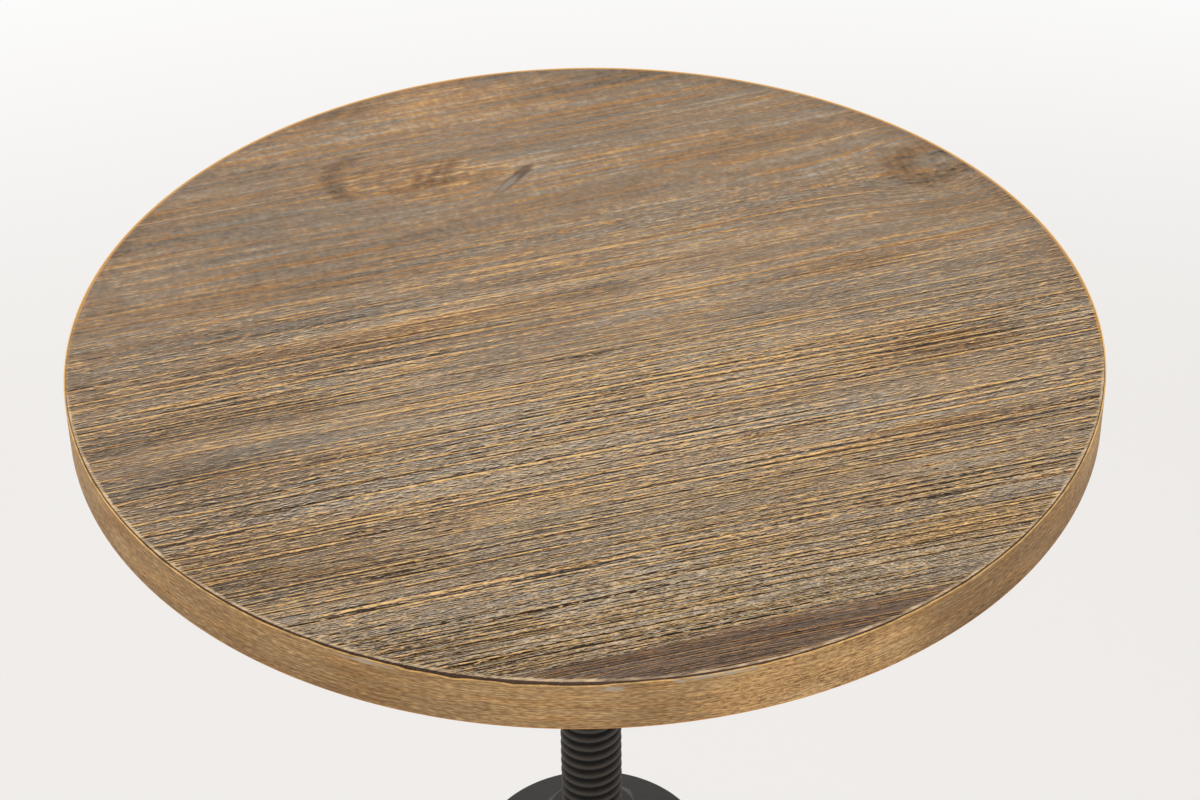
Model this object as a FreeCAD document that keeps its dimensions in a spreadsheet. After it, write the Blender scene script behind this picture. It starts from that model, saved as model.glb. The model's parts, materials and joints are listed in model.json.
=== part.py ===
import FreeCAD, Part
import Sketcher
import os

# Screw-height bar stool: a round edge-banded wooden seat on a threaded spindle, which turns in a hex nut
# on the hub of a four-legged tubular base with a ring for the feet.
# Millimetres, +Z up, origin on the floor under the middle of the stool.

# Driving dimensions. Lengths in millimetres, angles in degrees.
SIZES = {
    # seat
    "seat_height": 780,
    "seat_diameter": 305,
    "seat_thickness": 16,
    "band_thickness": 0.8,
    "rim_ease": 0.8,
    # steel plate under the seat, and its screws
    "plate_diameter": 120,
    "plate_thickness": 4,
    "plate_screw_circle": 92,
    "screw_diameter": 4,
    "screw_depth": 11,
    "screw_head_diameter": 8,
    "screw_head_height": 2.6,
    "screw_clearance": 0.5,
    "screw_drive_width": 1.2,
    "screw_drive_length": 4.6,
    "screw_drive_depth": 1.2,
    # spindle
    "thread_diameter": 20,
    "thread_pitch": 4,
    "thread_depth": 2,
    "thread_crest": 1.4,
    "thread_flank": 15,
    "thread_clearance": 0.3,
    "spindle_chamfer": 1.5,
    "collar_diameter": 34,
    "collar_height": 15,
    "collar_chamfer": 2,
    "raise_left": 25,
    # washer and bolt that stop the spindle from leaving the nut
    "stop_washer_diameter": 28,
    "stop_washer_thickness": 3,
    "stop_washer_play": 0.2,
    "stop_bolt_diameter": 8,
    "stop_bolt_depth": 22,
    "stop_bolt_flats": 13,
    "stop_bolt_head": 5.3,
    # hub
    "hub_height": 565,
    "hub_diameter": 77,
    "hub_thickness": 5,
    "hub_chamfer": 0.6,
    "nut_flats": 30,
    "nut_height": 18,
    "nut_turn": 42,
    "nut_chamfer": 1.6,
    "nut_chamfer_angle": 30,
    "bore_clearance": 0.5,
    "sleeve_diameter": 30,
    "sleeve_length": 80,
    "spider_thickness": 4,
    "spider_setback": 6,
    # legs
    "leg_diameter": 20,
    "leg_wall": 1.5,
    "leg_straight": 92,
    "leg_bend_radius": 150,
    "leg_splay": 25,
    # gaps between fixed pieces: turned or drilled to fit, and welded
    "close_fit": 0.1,
    "weld_gap": 0.2,
    # plastic glides
    "glide_diameter": 26,
    "glide_height": 8,
    "glide_plug_length": 24,
    "glide_clearance": 0.2,
    # foot ring
    "ring_height": 232,
    "ring_tube": 16,
    "ring_wall": 1.5,
    "spacer_length": 5,
    "spacer_diameter": 15,
    # bolts through the legs
    "bolt_diameter": 6,
    "bolt_clearance": 0.2,
    "bolt_seat_gap": 0.1,
    "bolt_head_diameter": 10.5,
    "bolt_head_height": 3.3,
    "bolt_head_rim": 0.8,
    "bolt_crown_diameter": 6,
    "bolt_dome_radius": 4.5,
    "bolt_key_flats": 4,
    "bolt_key_depth": 1.9,
    "leg_bolt_drop": 40,
    "leg_bolt_bite": 4,
    "cap_nut_diameter": 11,
    "cap_nut_height": 9,
    "cap_nut_skirt": 4.5,
    "cap_nut_tip_diameter": 3,
    "cap_nut_dome_radius": 5.6,
    "cap_nut_bore_depth": 6,
}

# Places worked out from the driving dimensions, as expressions on the sheet.
SPLAY = "(dims.leg_splay * 1 deg)"
FLANK = "(dims.thread_flank * 1 deg)"
HUB_UNDER = "(dims.hub_height - dims.hub_thickness)"
SLEEVE_END = f"({HUB_UNDER} - dims.sleeve_length)"
BORE_RADIUS = "(dims.thread_diameter / 2 + dims.bore_clearance)"
LEG_RADIUS = "((dims.sleeve_diameter + dims.leg_diameter) / 2 + dims.weld_gap)"
LEG_BEND_TOP = f"({HUB_UNDER} - dims.leg_straight)"
LEG_BEND_END = f"({LEG_BEND_TOP} - dims.leg_bend_radius * sin({SPLAY}))"
LEG_BEND_REACH = f"({LEG_RADIUS} + dims.leg_bend_radius * (1 - cos({SPLAY})))"
SEAT_UNDER = "(dims.seat_height - dims.seat_thickness)"
PLATE_UNDER = f"({SEAT_UNDER} - dims.plate_thickness)"
COLLAR_UNDER = f"({PLATE_UNDER} - dims.collar_height)"
WASHER_TOP = f"({SLEEVE_END} - dims.raise_left)"
SPINDLE_END = f"({WASHER_TOP} + dims.stop_washer_play)"
WASHER_UNDER = f"({WASHER_TOP} - dims.stop_washer_thickness)"
BOARD_RADIUS = "(dims.seat_diameter / 2 - dims.band_thickness)"
BOLT_HOLE = "(dims.bolt_diameter / 2 + dims.bolt_clearance)"
LEG_BOLT_HEIGHT = f"({HUB_UNDER} - dims.leg_bolt_drop)"
THREAD_ROOT = "(dims.thread_diameter / 2 - dims.thread_depth)"
LEG_COUNT = 4
FIRST_LEG_ANGLE = 45


def leg_reach(height):
    """Distance of a leg's centre line from the stool's axis, at a height below the bend."""
    return f"({LEG_BEND_REACH} + ({LEG_BEND_END} - {height}) * tan({SPLAY}))"


LEG_AT_FLOOR = leg_reach("0")
LEG_AT_GLIDE = leg_reach("dims.glide_height")
LEG_AT_RING = leg_reach("dims.ring_height")
LEG_HALF_SLICE = f"(dims.leg_diameter / 2 / cos({SPLAY}))"
RING_INSIDE = f"({LEG_AT_RING} + {LEG_HALF_SLICE} + dims.spacer_length)"
RING_RADIUS = f"({RING_INSIDE} + dims.ring_tube / 2)"

doc = FreeCAD.newDocument("bar_stool")
sheet = doc.addObject("Spreadsheet::Sheet", "dims")
for row, (alias, number) in enumerate(SIZES.items(), 1):
    sheet.set(f"A{row}", alias)
    sheet.set(f"B{row}", str(number))
    sheet.setAlias(f"B{row}", alias)
doc.recompute()

subparts = []


def size(expression):
    """The number that an expression on the sheet gives."""
    found = sheet.evalExpression(expression)
    return float(getattr(found, "Value", found))


def new_body(label, turn=0):
    """An empty body, turned about the stool's axis, which becomes the sub-part of that name."""
    body = doc.addObject("PartDesign::Body", label)
    body.Label = label
    body.AllowCompound = True
    body.Placement = FreeCAD.Placement(FreeCAD.Vector(), FreeCAD.Rotation(FreeCAD.Vector(0, 0, 1), turn))
    subparts.append(body)
    return body


def origin_feature(body, role):
    """One of the body's own origin planes or axes."""
    return next(f for f in body.Origin.OriginFeatures if f.Role == role)


def new_sketch(body, role, name, along="0", up="0"):
    """A sketch on an origin plane, moved along the plane's normal and up its own Y axis."""
    sketch = body.newObject("Sketcher::SketchObject", name)
    sketch.AttachmentSupport = [(origin_feature(body, role), "")]
    sketch.MapMode = "FlatFace"
    if along != "0":
        sketch.setExpression("AttachmentOffset.Base.z", along)
    if up != "0":
        sketch.setExpression("AttachmentOffset.Base.y", up)
    return sketch


def constrain(sketch, kind, *where, to):
    """A dimension in a sketch, bound to an expression."""
    number = sketch.addConstraint(Sketcher.Constraint(kind, *where, size(to)))
    sketch.setExpression(f"Constraints[{number}]", to)


def pin_point(sketch, geometry, point, x, y):
    """Ties a point of a sketch's geometry to a place given by two expressions."""
    for kind, axis, to in (("DistanceX", -2, x), ("DistanceY", -1, y)):
        if to == "0":
            sketch.addConstraint(Sketcher.Constraint("PointOnObject", geometry, point, axis))
        elif size(to) > 0:
            constrain(sketch, kind, -1, 1, geometry, point, to=to)
        else:
            constrain(sketch, kind, geometry, point, -1, 1, to=f"-({to})")


def add_circle(sketch, radius, x="0", y="0"):
    """A circle in a sketch, sized and placed by expressions."""
    middle = FreeCAD.Vector(size(x), size(y), 0)
    circle = sketch.addGeometry(Part.Circle(middle, FreeCAD.Vector(0, 0, 1), size(radius)))
    constrain(sketch, "Radius", circle, to=radius)
    pin_point(sketch, circle, 3, x, y)


def add_arc(sketch, start, through, end):
    """An arc in a sketch, and the numbers of its end points in the order given."""
    arc = sketch.addGeometry(Part.Arc(start, through, end))
    forward = sketch.getPoint(arc, 1).distanceToPoint(start) < sketch.getPoint(arc, 1).distanceToPoint(end)
    return arc, ((1, 2) if forward else (2, 1))


def add_outline(sketch, corners, rounded=None, dome_radius=None):
    """A closed outline in a sketch, with each corner placed by two expressions. Its sides are straight, but
    the side from the corner numbered rounded is an arc of a given radius that swells to the left."""
    places = [FreeCAD.Vector(size(x), size(y), 0) for x, y in corners]
    sides = []
    for number, (start, end) in enumerate(zip(places, places[1:] + places[:1])):
        if number == rounded:
            across = (end - start) / 2
            radius = size(dome_radius)
            left = FreeCAD.Vector(-across.y, across.x, 0).normalize()
            swell = radius - (radius**2 - across.Length**2) ** 0.5
            sides.append(add_arc(sketch, start, start + across + left * swell, end))
            constrain(sketch, "Radius", sides[-1][0], to=dome_radius)
        else:
            sides.append((sketch.addGeometry(Part.LineSegment(start, end)), (1, 2)))
    for (side, ends), (following, next_ends), (x, y) in zip(sides, sides[1:] + sides[:1], corners):
        pin_point(sketch, side, ends[0], x, y)
        sketch.addConstraint(Sketcher.Constraint("Coincident", side, ends[1], following, next_ends[0]))


def add_hexagon(sketch, flats):
    """A regular hexagon about the sketch's origin, given its size across flats, with a corner on the X axis."""
    corner = f"({flats} / sqrt(3))"
    half = f"({flats} / 2)"
    add_outline(
        sketch,
        [
            (corner, "0"),
            (f"({corner} / 2)", half),
            (f"(-{corner} / 2)", half),
            (f"(-{corner})", "0"),
            (f"(-{corner} / 2)", f"(-{half})"),
            (f"({corner} / 2)", f"(-{half})"),
        ],
    )


def add_pad(body, sketch, length, name):
    """Material from a sketch, along its normal."""
    pad = body.newObject("PartDesign::Pad", name)
    pad.Profile = sketch
    pad.setExpression("Length", length)
    return pad


def add_cut(body, sketch, name, depth=None):
    """A pocket from a sketch: against its normal to a depth, or right through both ways."""
    pocket = body.newObject("PartDesign::Pocket", name)
    pocket.Profile = sketch
    if depth is None:
        pocket.Type = "ThroughAll"
        pocket.Midplane = True
    else:
        pocket.setExpression("Length", depth)
    return pocket


def add_turning(body, kind, sketch, axis, name):
    """A revolution or groove of a sketch about one of its own axes."""
    turning = body.newObject(f"PartDesign::{kind}", name)
    turning.Profile = sketch
    turning.ReferenceAxis = (sketch, [axis])
    turning.Angle = 360
    return turning


def add_ring_of(body, features, count, name):
    """Copies features evenly about the stool's axis."""
    pattern = body.newObject("PartDesign::PolarPattern", name)
    pattern.Originals = features
    pattern.Axis = (origin_feature(body, "Z_Axis"), [""])
    pattern.Angle = 360
    pattern.Occurrences = count
    body.Tip = pattern
    return pattern


def add_thread_groove(body, sketch, height, name):
    """Cuts a right-handed helical groove of the spindle's pitch about the sketch's upright axis."""
    groove = body.newObject("PartDesign::SubtractiveHelix", name)
    groove.Profile = sketch
    groove.ReferenceAxis = (sketch, ["V_Axis"])
    groove.Mode = "pitch-height-angle"
    groove.setExpression("Pitch", "dims.thread_pitch")
    groove.setExpression("Height", height)
    groove.LeftHanded = False
    return groove


def lift(body, height):
    """Sets a body at a height above the floor."""
    body.setExpression("Placement.Base.z", height)


def make_disc(label, radius, bore, thickness, height):
    """A flat round plate with a hole in its middle, whose underside is at a height."""
    body = new_body(label)
    outline = new_sketch(body, "XY_Plane", f"{label}_outline")
    add_circle(outline, radius)
    if bore:
        add_circle(outline, bore)
    add_pad(body, outline, thickness, f"{label}_plate")
    lift(body, height)
    return body


def make_chamfered_disc(label, radius, bore, height, bottom, ease, eased_top):
    """A turned ring with an eased outer edge at its top or at its bottom."""
    body = new_body(label)
    profile = new_sketch(body, "XZ_Plane", f"{label}_profile")
    inside, outside = f"({radius} - {ease})", radius
    if eased_top:
        rim = [(outside, "0"), (outside, f"({height} - {ease})"), (inside, height)]
    else:
        rim = [(inside, "0"), (outside, ease), (outside, height)]
    add_outline(profile, [(bore, "0"), *rim, (bore, height)])
    add_turning(body, "Revolution", profile, "V_Axis", f"{label}_turning")
    lift(body, bottom)
    return body


# Seat: a board whose eased top edge leaves a fine groove inside the band glued round it.
def make_seat_board():
    body = new_body("seat_board")
    profile = new_sketch(body, "XZ_Plane", "board_profile")
    eased = f"({BOARD_RADIUS} - dims.rim_ease)"
    shoulder = "(dims.seat_thickness - dims.rim_ease)"
    corners = [("0", "0"), (BOARD_RADIUS, "0"), (BOARD_RADIUS, shoulder), (eased, "dims.seat_thickness")]
    add_outline(profile, [*corners, ("0", "dims.seat_thickness")])
    add_turning(body, "Revolution", profile, "V_Axis", "board_turning")
    doc.recompute()
    pilot = new_sketch(body, "XY_Plane", "pilot_hole", along="dims.screw_depth")
    add_circle(pilot, "(dims.screw_diameter / 2 + dims.close_fit)", "dims.plate_screw_circle / 2")
    hole = add_cut(body, pilot, "pilot_drilling", "dims.screw_depth")
    add_ring_of(body, [hole], LEG_COUNT, "pilot_drillings")
    lift(body, SEAT_UNDER)


def make_seat_edge_band():
    body = new_body("seat_edge_band")
    section = new_sketch(body, "XY_Plane", "band_section")
    add_circle(section, "dims.seat_diameter / 2")
    add_circle(section, BOARD_RADIUS)
    add_pad(body, section, "dims.seat_thickness", "band_wrap")
    lift(body, SEAT_UNDER)


# Plate welded to the spindle, and the screws that hold the seat on it.
def make_seat_plate():
    body = make_disc("seat_plate", "dims.plate_diameter / 2", None, "dims.plate_thickness", PLATE_UNDER)
    doc.recompute()
    hole = new_sketch(body, "XY_Plane", "plate_hole", along="dims.plate_thickness")
    add_circle(hole, "(dims.screw_diameter / 2 + dims.screw_clearance)", "dims.plate_screw_circle / 2")
    drilling = add_cut(body, hole, "plate_drilling", "dims.plate_thickness")
    add_ring_of(body, [drilling], LEG_COUNT, "plate_drillings")


def make_plate_screws():
    body = new_body("plate_screws")
    head = new_sketch(body, "XY_Plane", "screw_head")
    add_circle(head, "dims.screw_head_diameter / 2", "dims.plate_screw_circle / 2")
    head_pad = add_pad(body, head, "dims.screw_head_height", "screw_head_disc")
    shank = new_sketch(body, "XY_Plane", "screw_shank", along="dims.screw_head_height")
    add_circle(shank, "dims.screw_diameter / 2", "dims.plate_screw_circle / 2")
    reach = "(dims.plate_thickness + dims.screw_depth - dims.close_fit)"
    shank_pad = add_pad(body, shank, reach, "screw_shank_rod")
    doc.recompute()
    slot = new_sketch(body, "XY_Plane", "screw_slot", along="dims.screw_drive_depth")
    middle = "dims.plate_screw_circle / 2"
    half_length, half_width = "dims.screw_drive_length / 2", "dims.screw_drive_width / 2"
    near, far = f"({middle} - {half_length})", f"({middle} + {half_length})"
    low, high = f"(-{half_width})", half_width
    add_outline(slot, [(near, low), (far, low), (far, high), (near, high)])
    slot_cut = add_cut(body, slot, "screw_slotting", "dims.screw_drive_depth")
    add_ring_of(body, [head_pad, shank_pad, slot_cut], LEG_COUNT, "screw_ring")
    lift(body, f"({PLATE_UNDER} - dims.screw_head_height)")


def make_spindle_collar():
    make_chamfered_disc(
        "spindle_collar",
        "(dims.collar_diameter / 2)",
        "(dims.thread_diameter / 2 + dims.close_fit)",
        "dims.collar_height",
        COLLAR_UNDER,
        "dims.collar_chamfer",
        eased_top=False,
    )


# Spindle: a rod with a right-handed trapezoidal thread and a tapped hole for the stop bolt.
def make_spindle():
    body = new_body("spindle")
    length = f"({PLATE_UNDER} - {SPINDLE_END})"
    threaded = f"({COLLAR_UNDER} - {SPINDLE_END} + dims.thread_pitch)"
    profile = new_sketch(body, "XZ_Plane", "rod_profile")
    radius = "dims.thread_diameter / 2"
    eased = f"({radius} - dims.spindle_chamfer)"
    bore = "(dims.stop_bolt_diameter / 2 + dims.close_fit)"
    hole_top = "(dims.stop_bolt_depth + dims.close_fit)"
    outside = [(bore, "0"), (eased, "0"), (radius, "dims.spindle_chamfer"), (radius, length)]
    add_outline(profile, [*outside, ("0", length), ("0", hole_top), (bore, hole_top)])
    add_turning(body, "Revolution", profile, "V_Axis", "rod_turning")
    doc.recompute()
    groove = new_sketch(body, "XZ_Plane", "thread_section", up="-dims.thread_pitch")
    overcut = "dims.thread_clearance"
    mouth = f"((dims.thread_pitch - dims.thread_crest) / 2 + {overcut} * tan({FLANK}))"
    floor = f"({mouth} - (dims.thread_depth + {overcut}) * tan({FLANK}))"
    rim = f"({radius} + {overcut})"
    add_outline(groove, [(THREAD_ROOT, f"(-{floor})"), (rim, f"(-{mouth})"), (rim, mouth), (THREAD_ROOT, floor)])
    add_thread_groove(body, groove, f"({threaded} + dims.thread_pitch)", "spindle_thread")
    lift(body, SPINDLE_END)


def make_stop_washer():
    bore = "(dims.stop_bolt_diameter / 2 + dims.bolt_clearance)"
    radius = "dims.stop_washer_diameter / 2"
    make_disc("stop_washer", radius, bore, "dims.stop_washer_thickness", WASHER_UNDER)


def make_stop_bolt():
    body = new_body("stop_bolt")
    head = new_sketch(body, "XY_Plane", "stop_head")
    add_hexagon(head, "dims.stop_bolt_flats")
    add_pad(body, head, "dims.stop_bolt_head", "stop_head_block")
    shank = new_sketch(body, "XY_Plane", "stop_shank", along="dims.stop_bolt_head")
    add_circle(shank, "dims.stop_bolt_diameter / 2")
    reach = "(dims.stop_bolt_depth + dims.stop_washer_thickness + 2 * dims.stop_washer_play)"
    add_pad(body, shank, reach, "stop_shank_rod")
    lift(body, f"({WASHER_UNDER} - dims.stop_washer_play - dims.stop_bolt_head)")


# Hub: disc, threaded nut, guide sleeve and the spider plate that holds the legs to the sleeve.
def make_hub_disc():
    make_chamfered_disc(
        "hub_disc",
        "(dims.hub_diameter / 2)",
        BORE_RADIUS,
        "dims.hub_thickness",
        HUB_UNDER,
        "dims.hub_chamfer",
        eased_top=True,
    )


def make_spindle_nut():
    body = new_body("spindle_nut")
    outline = new_sketch(body, "XY_Plane", "nut_outline")
    outline.setExpression("AttachmentOffset.Rotation.Angle", "dims.nut_turn * 1 deg")
    add_hexagon(outline, "dims.nut_flats")
    add_pad(body, outline, "dims.nut_height", "nut_block")
    doc.recompute()
    bore = new_sketch(body, "XY_Plane", "nut_bore")
    minor = f"({THREAD_ROOT} + dims.thread_clearance)"
    add_circle(bore, minor)
    add_cut(body, bore, "nut_boring")
    doc.recompute()
    edges = new_sketch(body, "XZ_Plane", "nut_edges")
    corner = "(dims.nut_flats / sqrt(3))"
    run = "(dims.nut_chamfer / tan(dims.nut_chamfer_angle * 1 deg))"
    shoulder = f"({corner} - {run})"
    beyond = f"({corner} + {run})"
    double = "(2 * dims.nut_chamfer)"
    top = "dims.nut_height"
    add_outline(edges, [(shoulder, top), (beyond, f"({top} - {double})"), (beyond, top)])
    add_outline(edges, [(shoulder, "0"), (beyond, double), (beyond, "0")])
    add_turning(body, "Groove", edges, "V_Axis", "nut_chamfering")
    doc.recompute()
    phase = f"({SPINDLE_END} + dims.thread_pitch / 2 - dims.hub_height)"
    start = f"(mod({phase}; dims.thread_pitch) - 2 * dims.thread_pitch)"
    groove = new_sketch(body, "XZ_Plane", "nut_thread_section", up=start)
    inside = f"({minor} - dims.thread_clearance)"
    outside = "(dims.thread_diameter / 2 + dims.thread_clearance)"
    half_crest = "(dims.thread_crest / 2 + dims.thread_clearance)"
    mouth = f"({half_crest} + dims.thread_depth * tan({FLANK}))"
    floor = f"({half_crest} - dims.thread_clearance * tan({FLANK}))"
    add_outline(groove, [(inside, f"(-{mouth})"), (outside, f"(-{floor})"), (outside, floor), (inside, mouth)])
    add_thread_groove(body, groove, "(dims.nut_height + 4 * dims.thread_pitch)", "nut_thread")
    lift(body, "dims.hub_height")


def make_guide_sleeve():
    body = new_body("guide_sleeve", FIRST_LEG_ANGLE)
    section = new_sketch(body, "XY_Plane", "sleeve_section")
    add_circle(section, "dims.sleeve_diameter / 2")
    add_circle(section, BORE_RADIUS)
    add_pad(body, section, "dims.sleeve_length", "sleeve_tube")
    doc.recompute()
    height = "(dims.sleeve_length - dims.leg_bolt_drop)"
    for plane in ("YZ_Plane", "XZ_Plane"):
        hole = new_sketch(body, plane, f"tapped_hole_{plane}", up=height)
        add_circle(hole, BOLT_HOLE)
        add_cut(body, hole, f"tapping_{plane}")
        doc.recompute()
    lift(body, SLEEVE_END)


def make_hub_spider():
    body = new_body("hub_spider", FIRST_LEG_ANGLE)
    outline = new_sketch(body, "XY_Plane", "spider_outline")
    add_circle(outline, "dims.hub_diameter / 2")
    add_circle(outline, "(dims.sleeve_diameter / 2 + dims.weld_gap)")
    add_pad(body, outline, "dims.spider_thickness", "spider_plate")
    doc.recompute()
    hole = new_sketch(body, "XY_Plane", "leg_hole", along="dims.spider_thickness")
    add_circle(hole, "(dims.leg_diameter / 2 + dims.weld_gap)", LEG_RADIUS)
    opening = add_cut(body, hole, "leg_opening", "dims.spider_thickness")
    add_ring_of(body, [opening], LEG_COUNT, "leg_openings")
    lift(body, f"({SLEEVE_END} + dims.spider_setback)")


# Legs: bent tubes, upright along the sleeve and then splayed, cut level above their glides.
def make_leg(number, turn):
    body = new_body(f"leg_{number}", turn)
    path = new_sketch(body, "XZ_Plane", f"leg_{number}_path")
    bend_middle = f"({LEG_RADIUS} + dims.leg_bend_radius)"
    top, bend_top, bend_end = (LEG_RADIUS, HUB_UNDER), (LEG_RADIUS, LEG_BEND_TOP), (LEG_BEND_REACH, LEG_BEND_END)
    places = [FreeCAD.Vector(size(x), size(y), 0) for x, y in (top, bend_top, bend_end, (LEG_AT_FLOOR, "0"))]
    half_turn = f"({SPLAY} / 2)"
    on_bend = FreeCAD.Vector(
        size(f"{bend_middle} - dims.leg_bend_radius * cos({half_turn})"),
        size(f"{LEG_BEND_TOP} - dims.leg_bend_radius * sin({half_turn})"),
        0,
    )
    upright = path.addGeometry(Part.LineSegment(places[0], places[1]))
    bend, bend_ends = add_arc(path, places[1], on_bend, places[2])
    splayed = path.addGeometry(Part.LineSegment(places[2], places[3]))
    pin_point(path, upright, 1, *top)
    pin_point(path, upright, 2, *bend_top)
    path.addConstraint(Sketcher.Constraint("Coincident", bend, bend_ends[0], upright, 2))
    path.addConstraint(Sketcher.Constraint("Coincident", bend, bend_ends[1], splayed, 1))
    pin_point(path, bend, 3, bend_middle, LEG_BEND_TOP)
    constrain(path, "DistanceX", -1, 1, splayed, 1, to=LEG_BEND_REACH)
    pin_point(path, splayed, 2, LEG_AT_FLOOR, "0")
    section = new_sketch(body, "XY_Plane", f"leg_{number}_section", along=HUB_UNDER)
    add_circle(section, "dims.leg_diameter / 2", LEG_RADIUS)
    add_circle(section, "(dims.leg_diameter / 2 - dims.leg_wall)", LEG_RADIUS)
    tube = body.newObject("PartDesign::AdditivePipe", f"leg_{number}_tube")
    tube.Profile = section
    tube.Spine = (path, ["Edge1", "Edge2", "Edge3"])
    doc.recompute()
    level = new_sketch(body, "XY_Plane", f"leg_{number}_level", along="dims.glide_height")
    add_circle(level, "dims.leg_diameter", LEG_AT_FLOOR)
    add_cut(body, level, f"leg_{number}_trim", "dims.leg_diameter")
    doc.recompute()
    for place, height in (("hub", LEG_BOLT_HEIGHT), ("ring", "dims.ring_height")):
        hole = new_sketch(body, "YZ_Plane", f"leg_{number}_{place}_hole", up=height)
        add_circle(hole, BOLT_HOLE)
        add_cut(body, hole, f"leg_{number}_{place}_drilling")
        doc.recompute()


# Glides: a plug inside each leg's end and a flange that the leg stands on, both leaning with the leg.
def make_glide(number, turn):
    body = new_body(f"foot_glide_{number}", turn)
    plug_radius = "(dims.leg_diameter / 2 - dims.leg_wall - dims.glide_clearance)"
    stages = [
        ("flange", "0", LEG_AT_FLOOR, "dims.glide_diameter / 2", "dims.glide_height"),
        ("plug", "dims.glide_height", LEG_AT_GLIDE, plug_radius, "dims.glide_plug_length"),
    ]
    for stage, height, reach, radius, length in stages:
        outline = new_sketch(body, "XY_Plane", f"glide_{number}_{stage}", along=height)
        add_circle(outline, radius, reach)
        pad = add_pad(body, outline, length, f"glide_{number}_{stage}_block")
        pad.UseCustomVector = True
        pad.Direction = FreeCAD.Vector(-size(f"tan({SPLAY})"), 0, 1)
        pad.setExpression("Direction.x", f"-tan({SPLAY})")
        pad.AlongSketchNormal = True


def make_button_bolts(label, under_head, tip, height):
    """Button-head bolts that point at the stool's axis, one in each leg."""
    body = new_body(label, FIRST_LEG_ANGLE)
    profile = new_sketch(body, "XZ_Plane", f"{label}_profile", up=height)
    rim = f"({under_head} + dims.bolt_head_rim)"
    crown = f"({under_head} + dims.bolt_head_height)"
    head, shank = "dims.bolt_head_diameter / 2", "dims.bolt_diameter / 2"
    shank_side = [(tip, "0"), (tip, shank), (under_head, shank)]
    head_side = [(under_head, head), (rim, head), (crown, "dims.bolt_crown_diameter / 2"), (crown, "0")]
    dome_side = len(shank_side) + 1
    add_outline(profile, [*shank_side, *head_side], dome_side, "dims.bolt_dome_radius")
    turned = add_turning(body, "Revolution", profile, "H_Axis", f"{label}_turning")
    doc.recompute()
    key = new_sketch(body, "YZ_Plane", f"{label}_key", along=crown, up=height)
    add_hexagon(key, "dims.bolt_key_flats")
    socket = add_cut(body, key, f"{label}_socket", "dims.bolt_key_depth")
    add_ring_of(body, [turned, socket], LEG_COUNT, f"{label}_ring")
    return body


def make_leg_bolts():
    under_head = f"({LEG_RADIUS} + dims.leg_diameter / 2 + dims.bolt_seat_gap)"
    tip = "(dims.sleeve_diameter / 2 - dims.leg_bolt_bite)"
    make_button_bolts("leg_bolts", under_head, tip, LEG_BOLT_HEIGHT)


# Foot ring outside the legs, held off them by spacers and bolted through to cap nuts.
def make_footrest_ring():
    body = new_body("footrest_ring", FIRST_LEG_ANGLE)
    section = new_sketch(body, "XZ_Plane", "ring_section")
    add_circle(section, "dims.ring_tube / 2", RING_RADIUS)
    add_circle(section, "(dims.ring_tube / 2 - dims.ring_wall)", RING_RADIUS)
    add_turning(body, "Revolution", section, "V_Axis", "ring_bending")
    doc.recompute()
    for plane in ("YZ_Plane", "XZ_Plane"):
        hole = new_sketch(body, plane, f"ring_hole_{plane}")
        add_circle(hole, BOLT_HOLE)
        add_cut(body, hole, f"ring_drilling_{plane}")
        doc.recompute()
    lift(body, "dims.ring_height")


def make_footrest_spacers():
    body = new_body("footrest_spacers", FIRST_LEG_ANGLE)
    outline = new_sketch(body, "YZ_Plane", "spacer_outline", along=LEG_AT_RING)
    add_circle(outline, "dims.spacer_diameter / 2")
    add_circle(outline, BOLT_HOLE)
    block = add_pad(body, outline, f"({RING_RADIUS} - {LEG_AT_RING})", "spacer_block")
    doc.recompute()
    leg = new_sketch(body, "XY_Plane", "spacer_leg_seat")
    lean = FreeCAD.Rotation(FreeCAD.Vector(0, -1, 0), size("dims.leg_splay"))
    leg.AttachmentOffset = FreeCAD.Placement(FreeCAD.Vector(), lean)
    leg.setExpression("AttachmentOffset.Base.x", LEG_AT_RING)
    leg.setExpression("AttachmentOffset.Rotation.Angle", SPLAY)
    add_circle(leg, "(dims.leg_diameter / 2 + dims.close_fit)")
    seat = add_cut(body, leg, "spacer_leg_coping")
    add_ring_of(body, [block, seat], LEG_COUNT, "spacer_ring")
    doc.recompute()
    tube = new_sketch(body, "XZ_Plane", "spacer_tube_seat")
    add_circle(tube, "(dims.ring_tube / 2 + dims.close_fit)", RING_RADIUS)
    body.Tip = add_turning(body, "Groove", tube, "V_Axis", "spacer_tube_coping")
    lift(body, "dims.ring_height")


LEG_INSIDE_AT_RING = f"({LEG_AT_RING} - {LEG_HALF_SLICE} - dims.close_fit)"
# The cap nut's flat mouth clears the leg's sloping wall by what the wall gains over half the nut's width.
CAP_NUT_MOUTH = f"({LEG_INSIDE_AT_RING} - dims.cap_nut_diameter / 2 * tan({SPLAY}))"
RING_OUTSIDE = f"({RING_RADIUS} + dims.ring_tube / 2 + dims.bolt_seat_gap)"


def make_footrest_bolts():
    tip = f"({CAP_NUT_MOUTH} - dims.cap_nut_bore_depth + dims.bolt_clearance)"
    make_button_bolts("footrest_bolts", RING_OUTSIDE, tip, "dims.ring_height")


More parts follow.
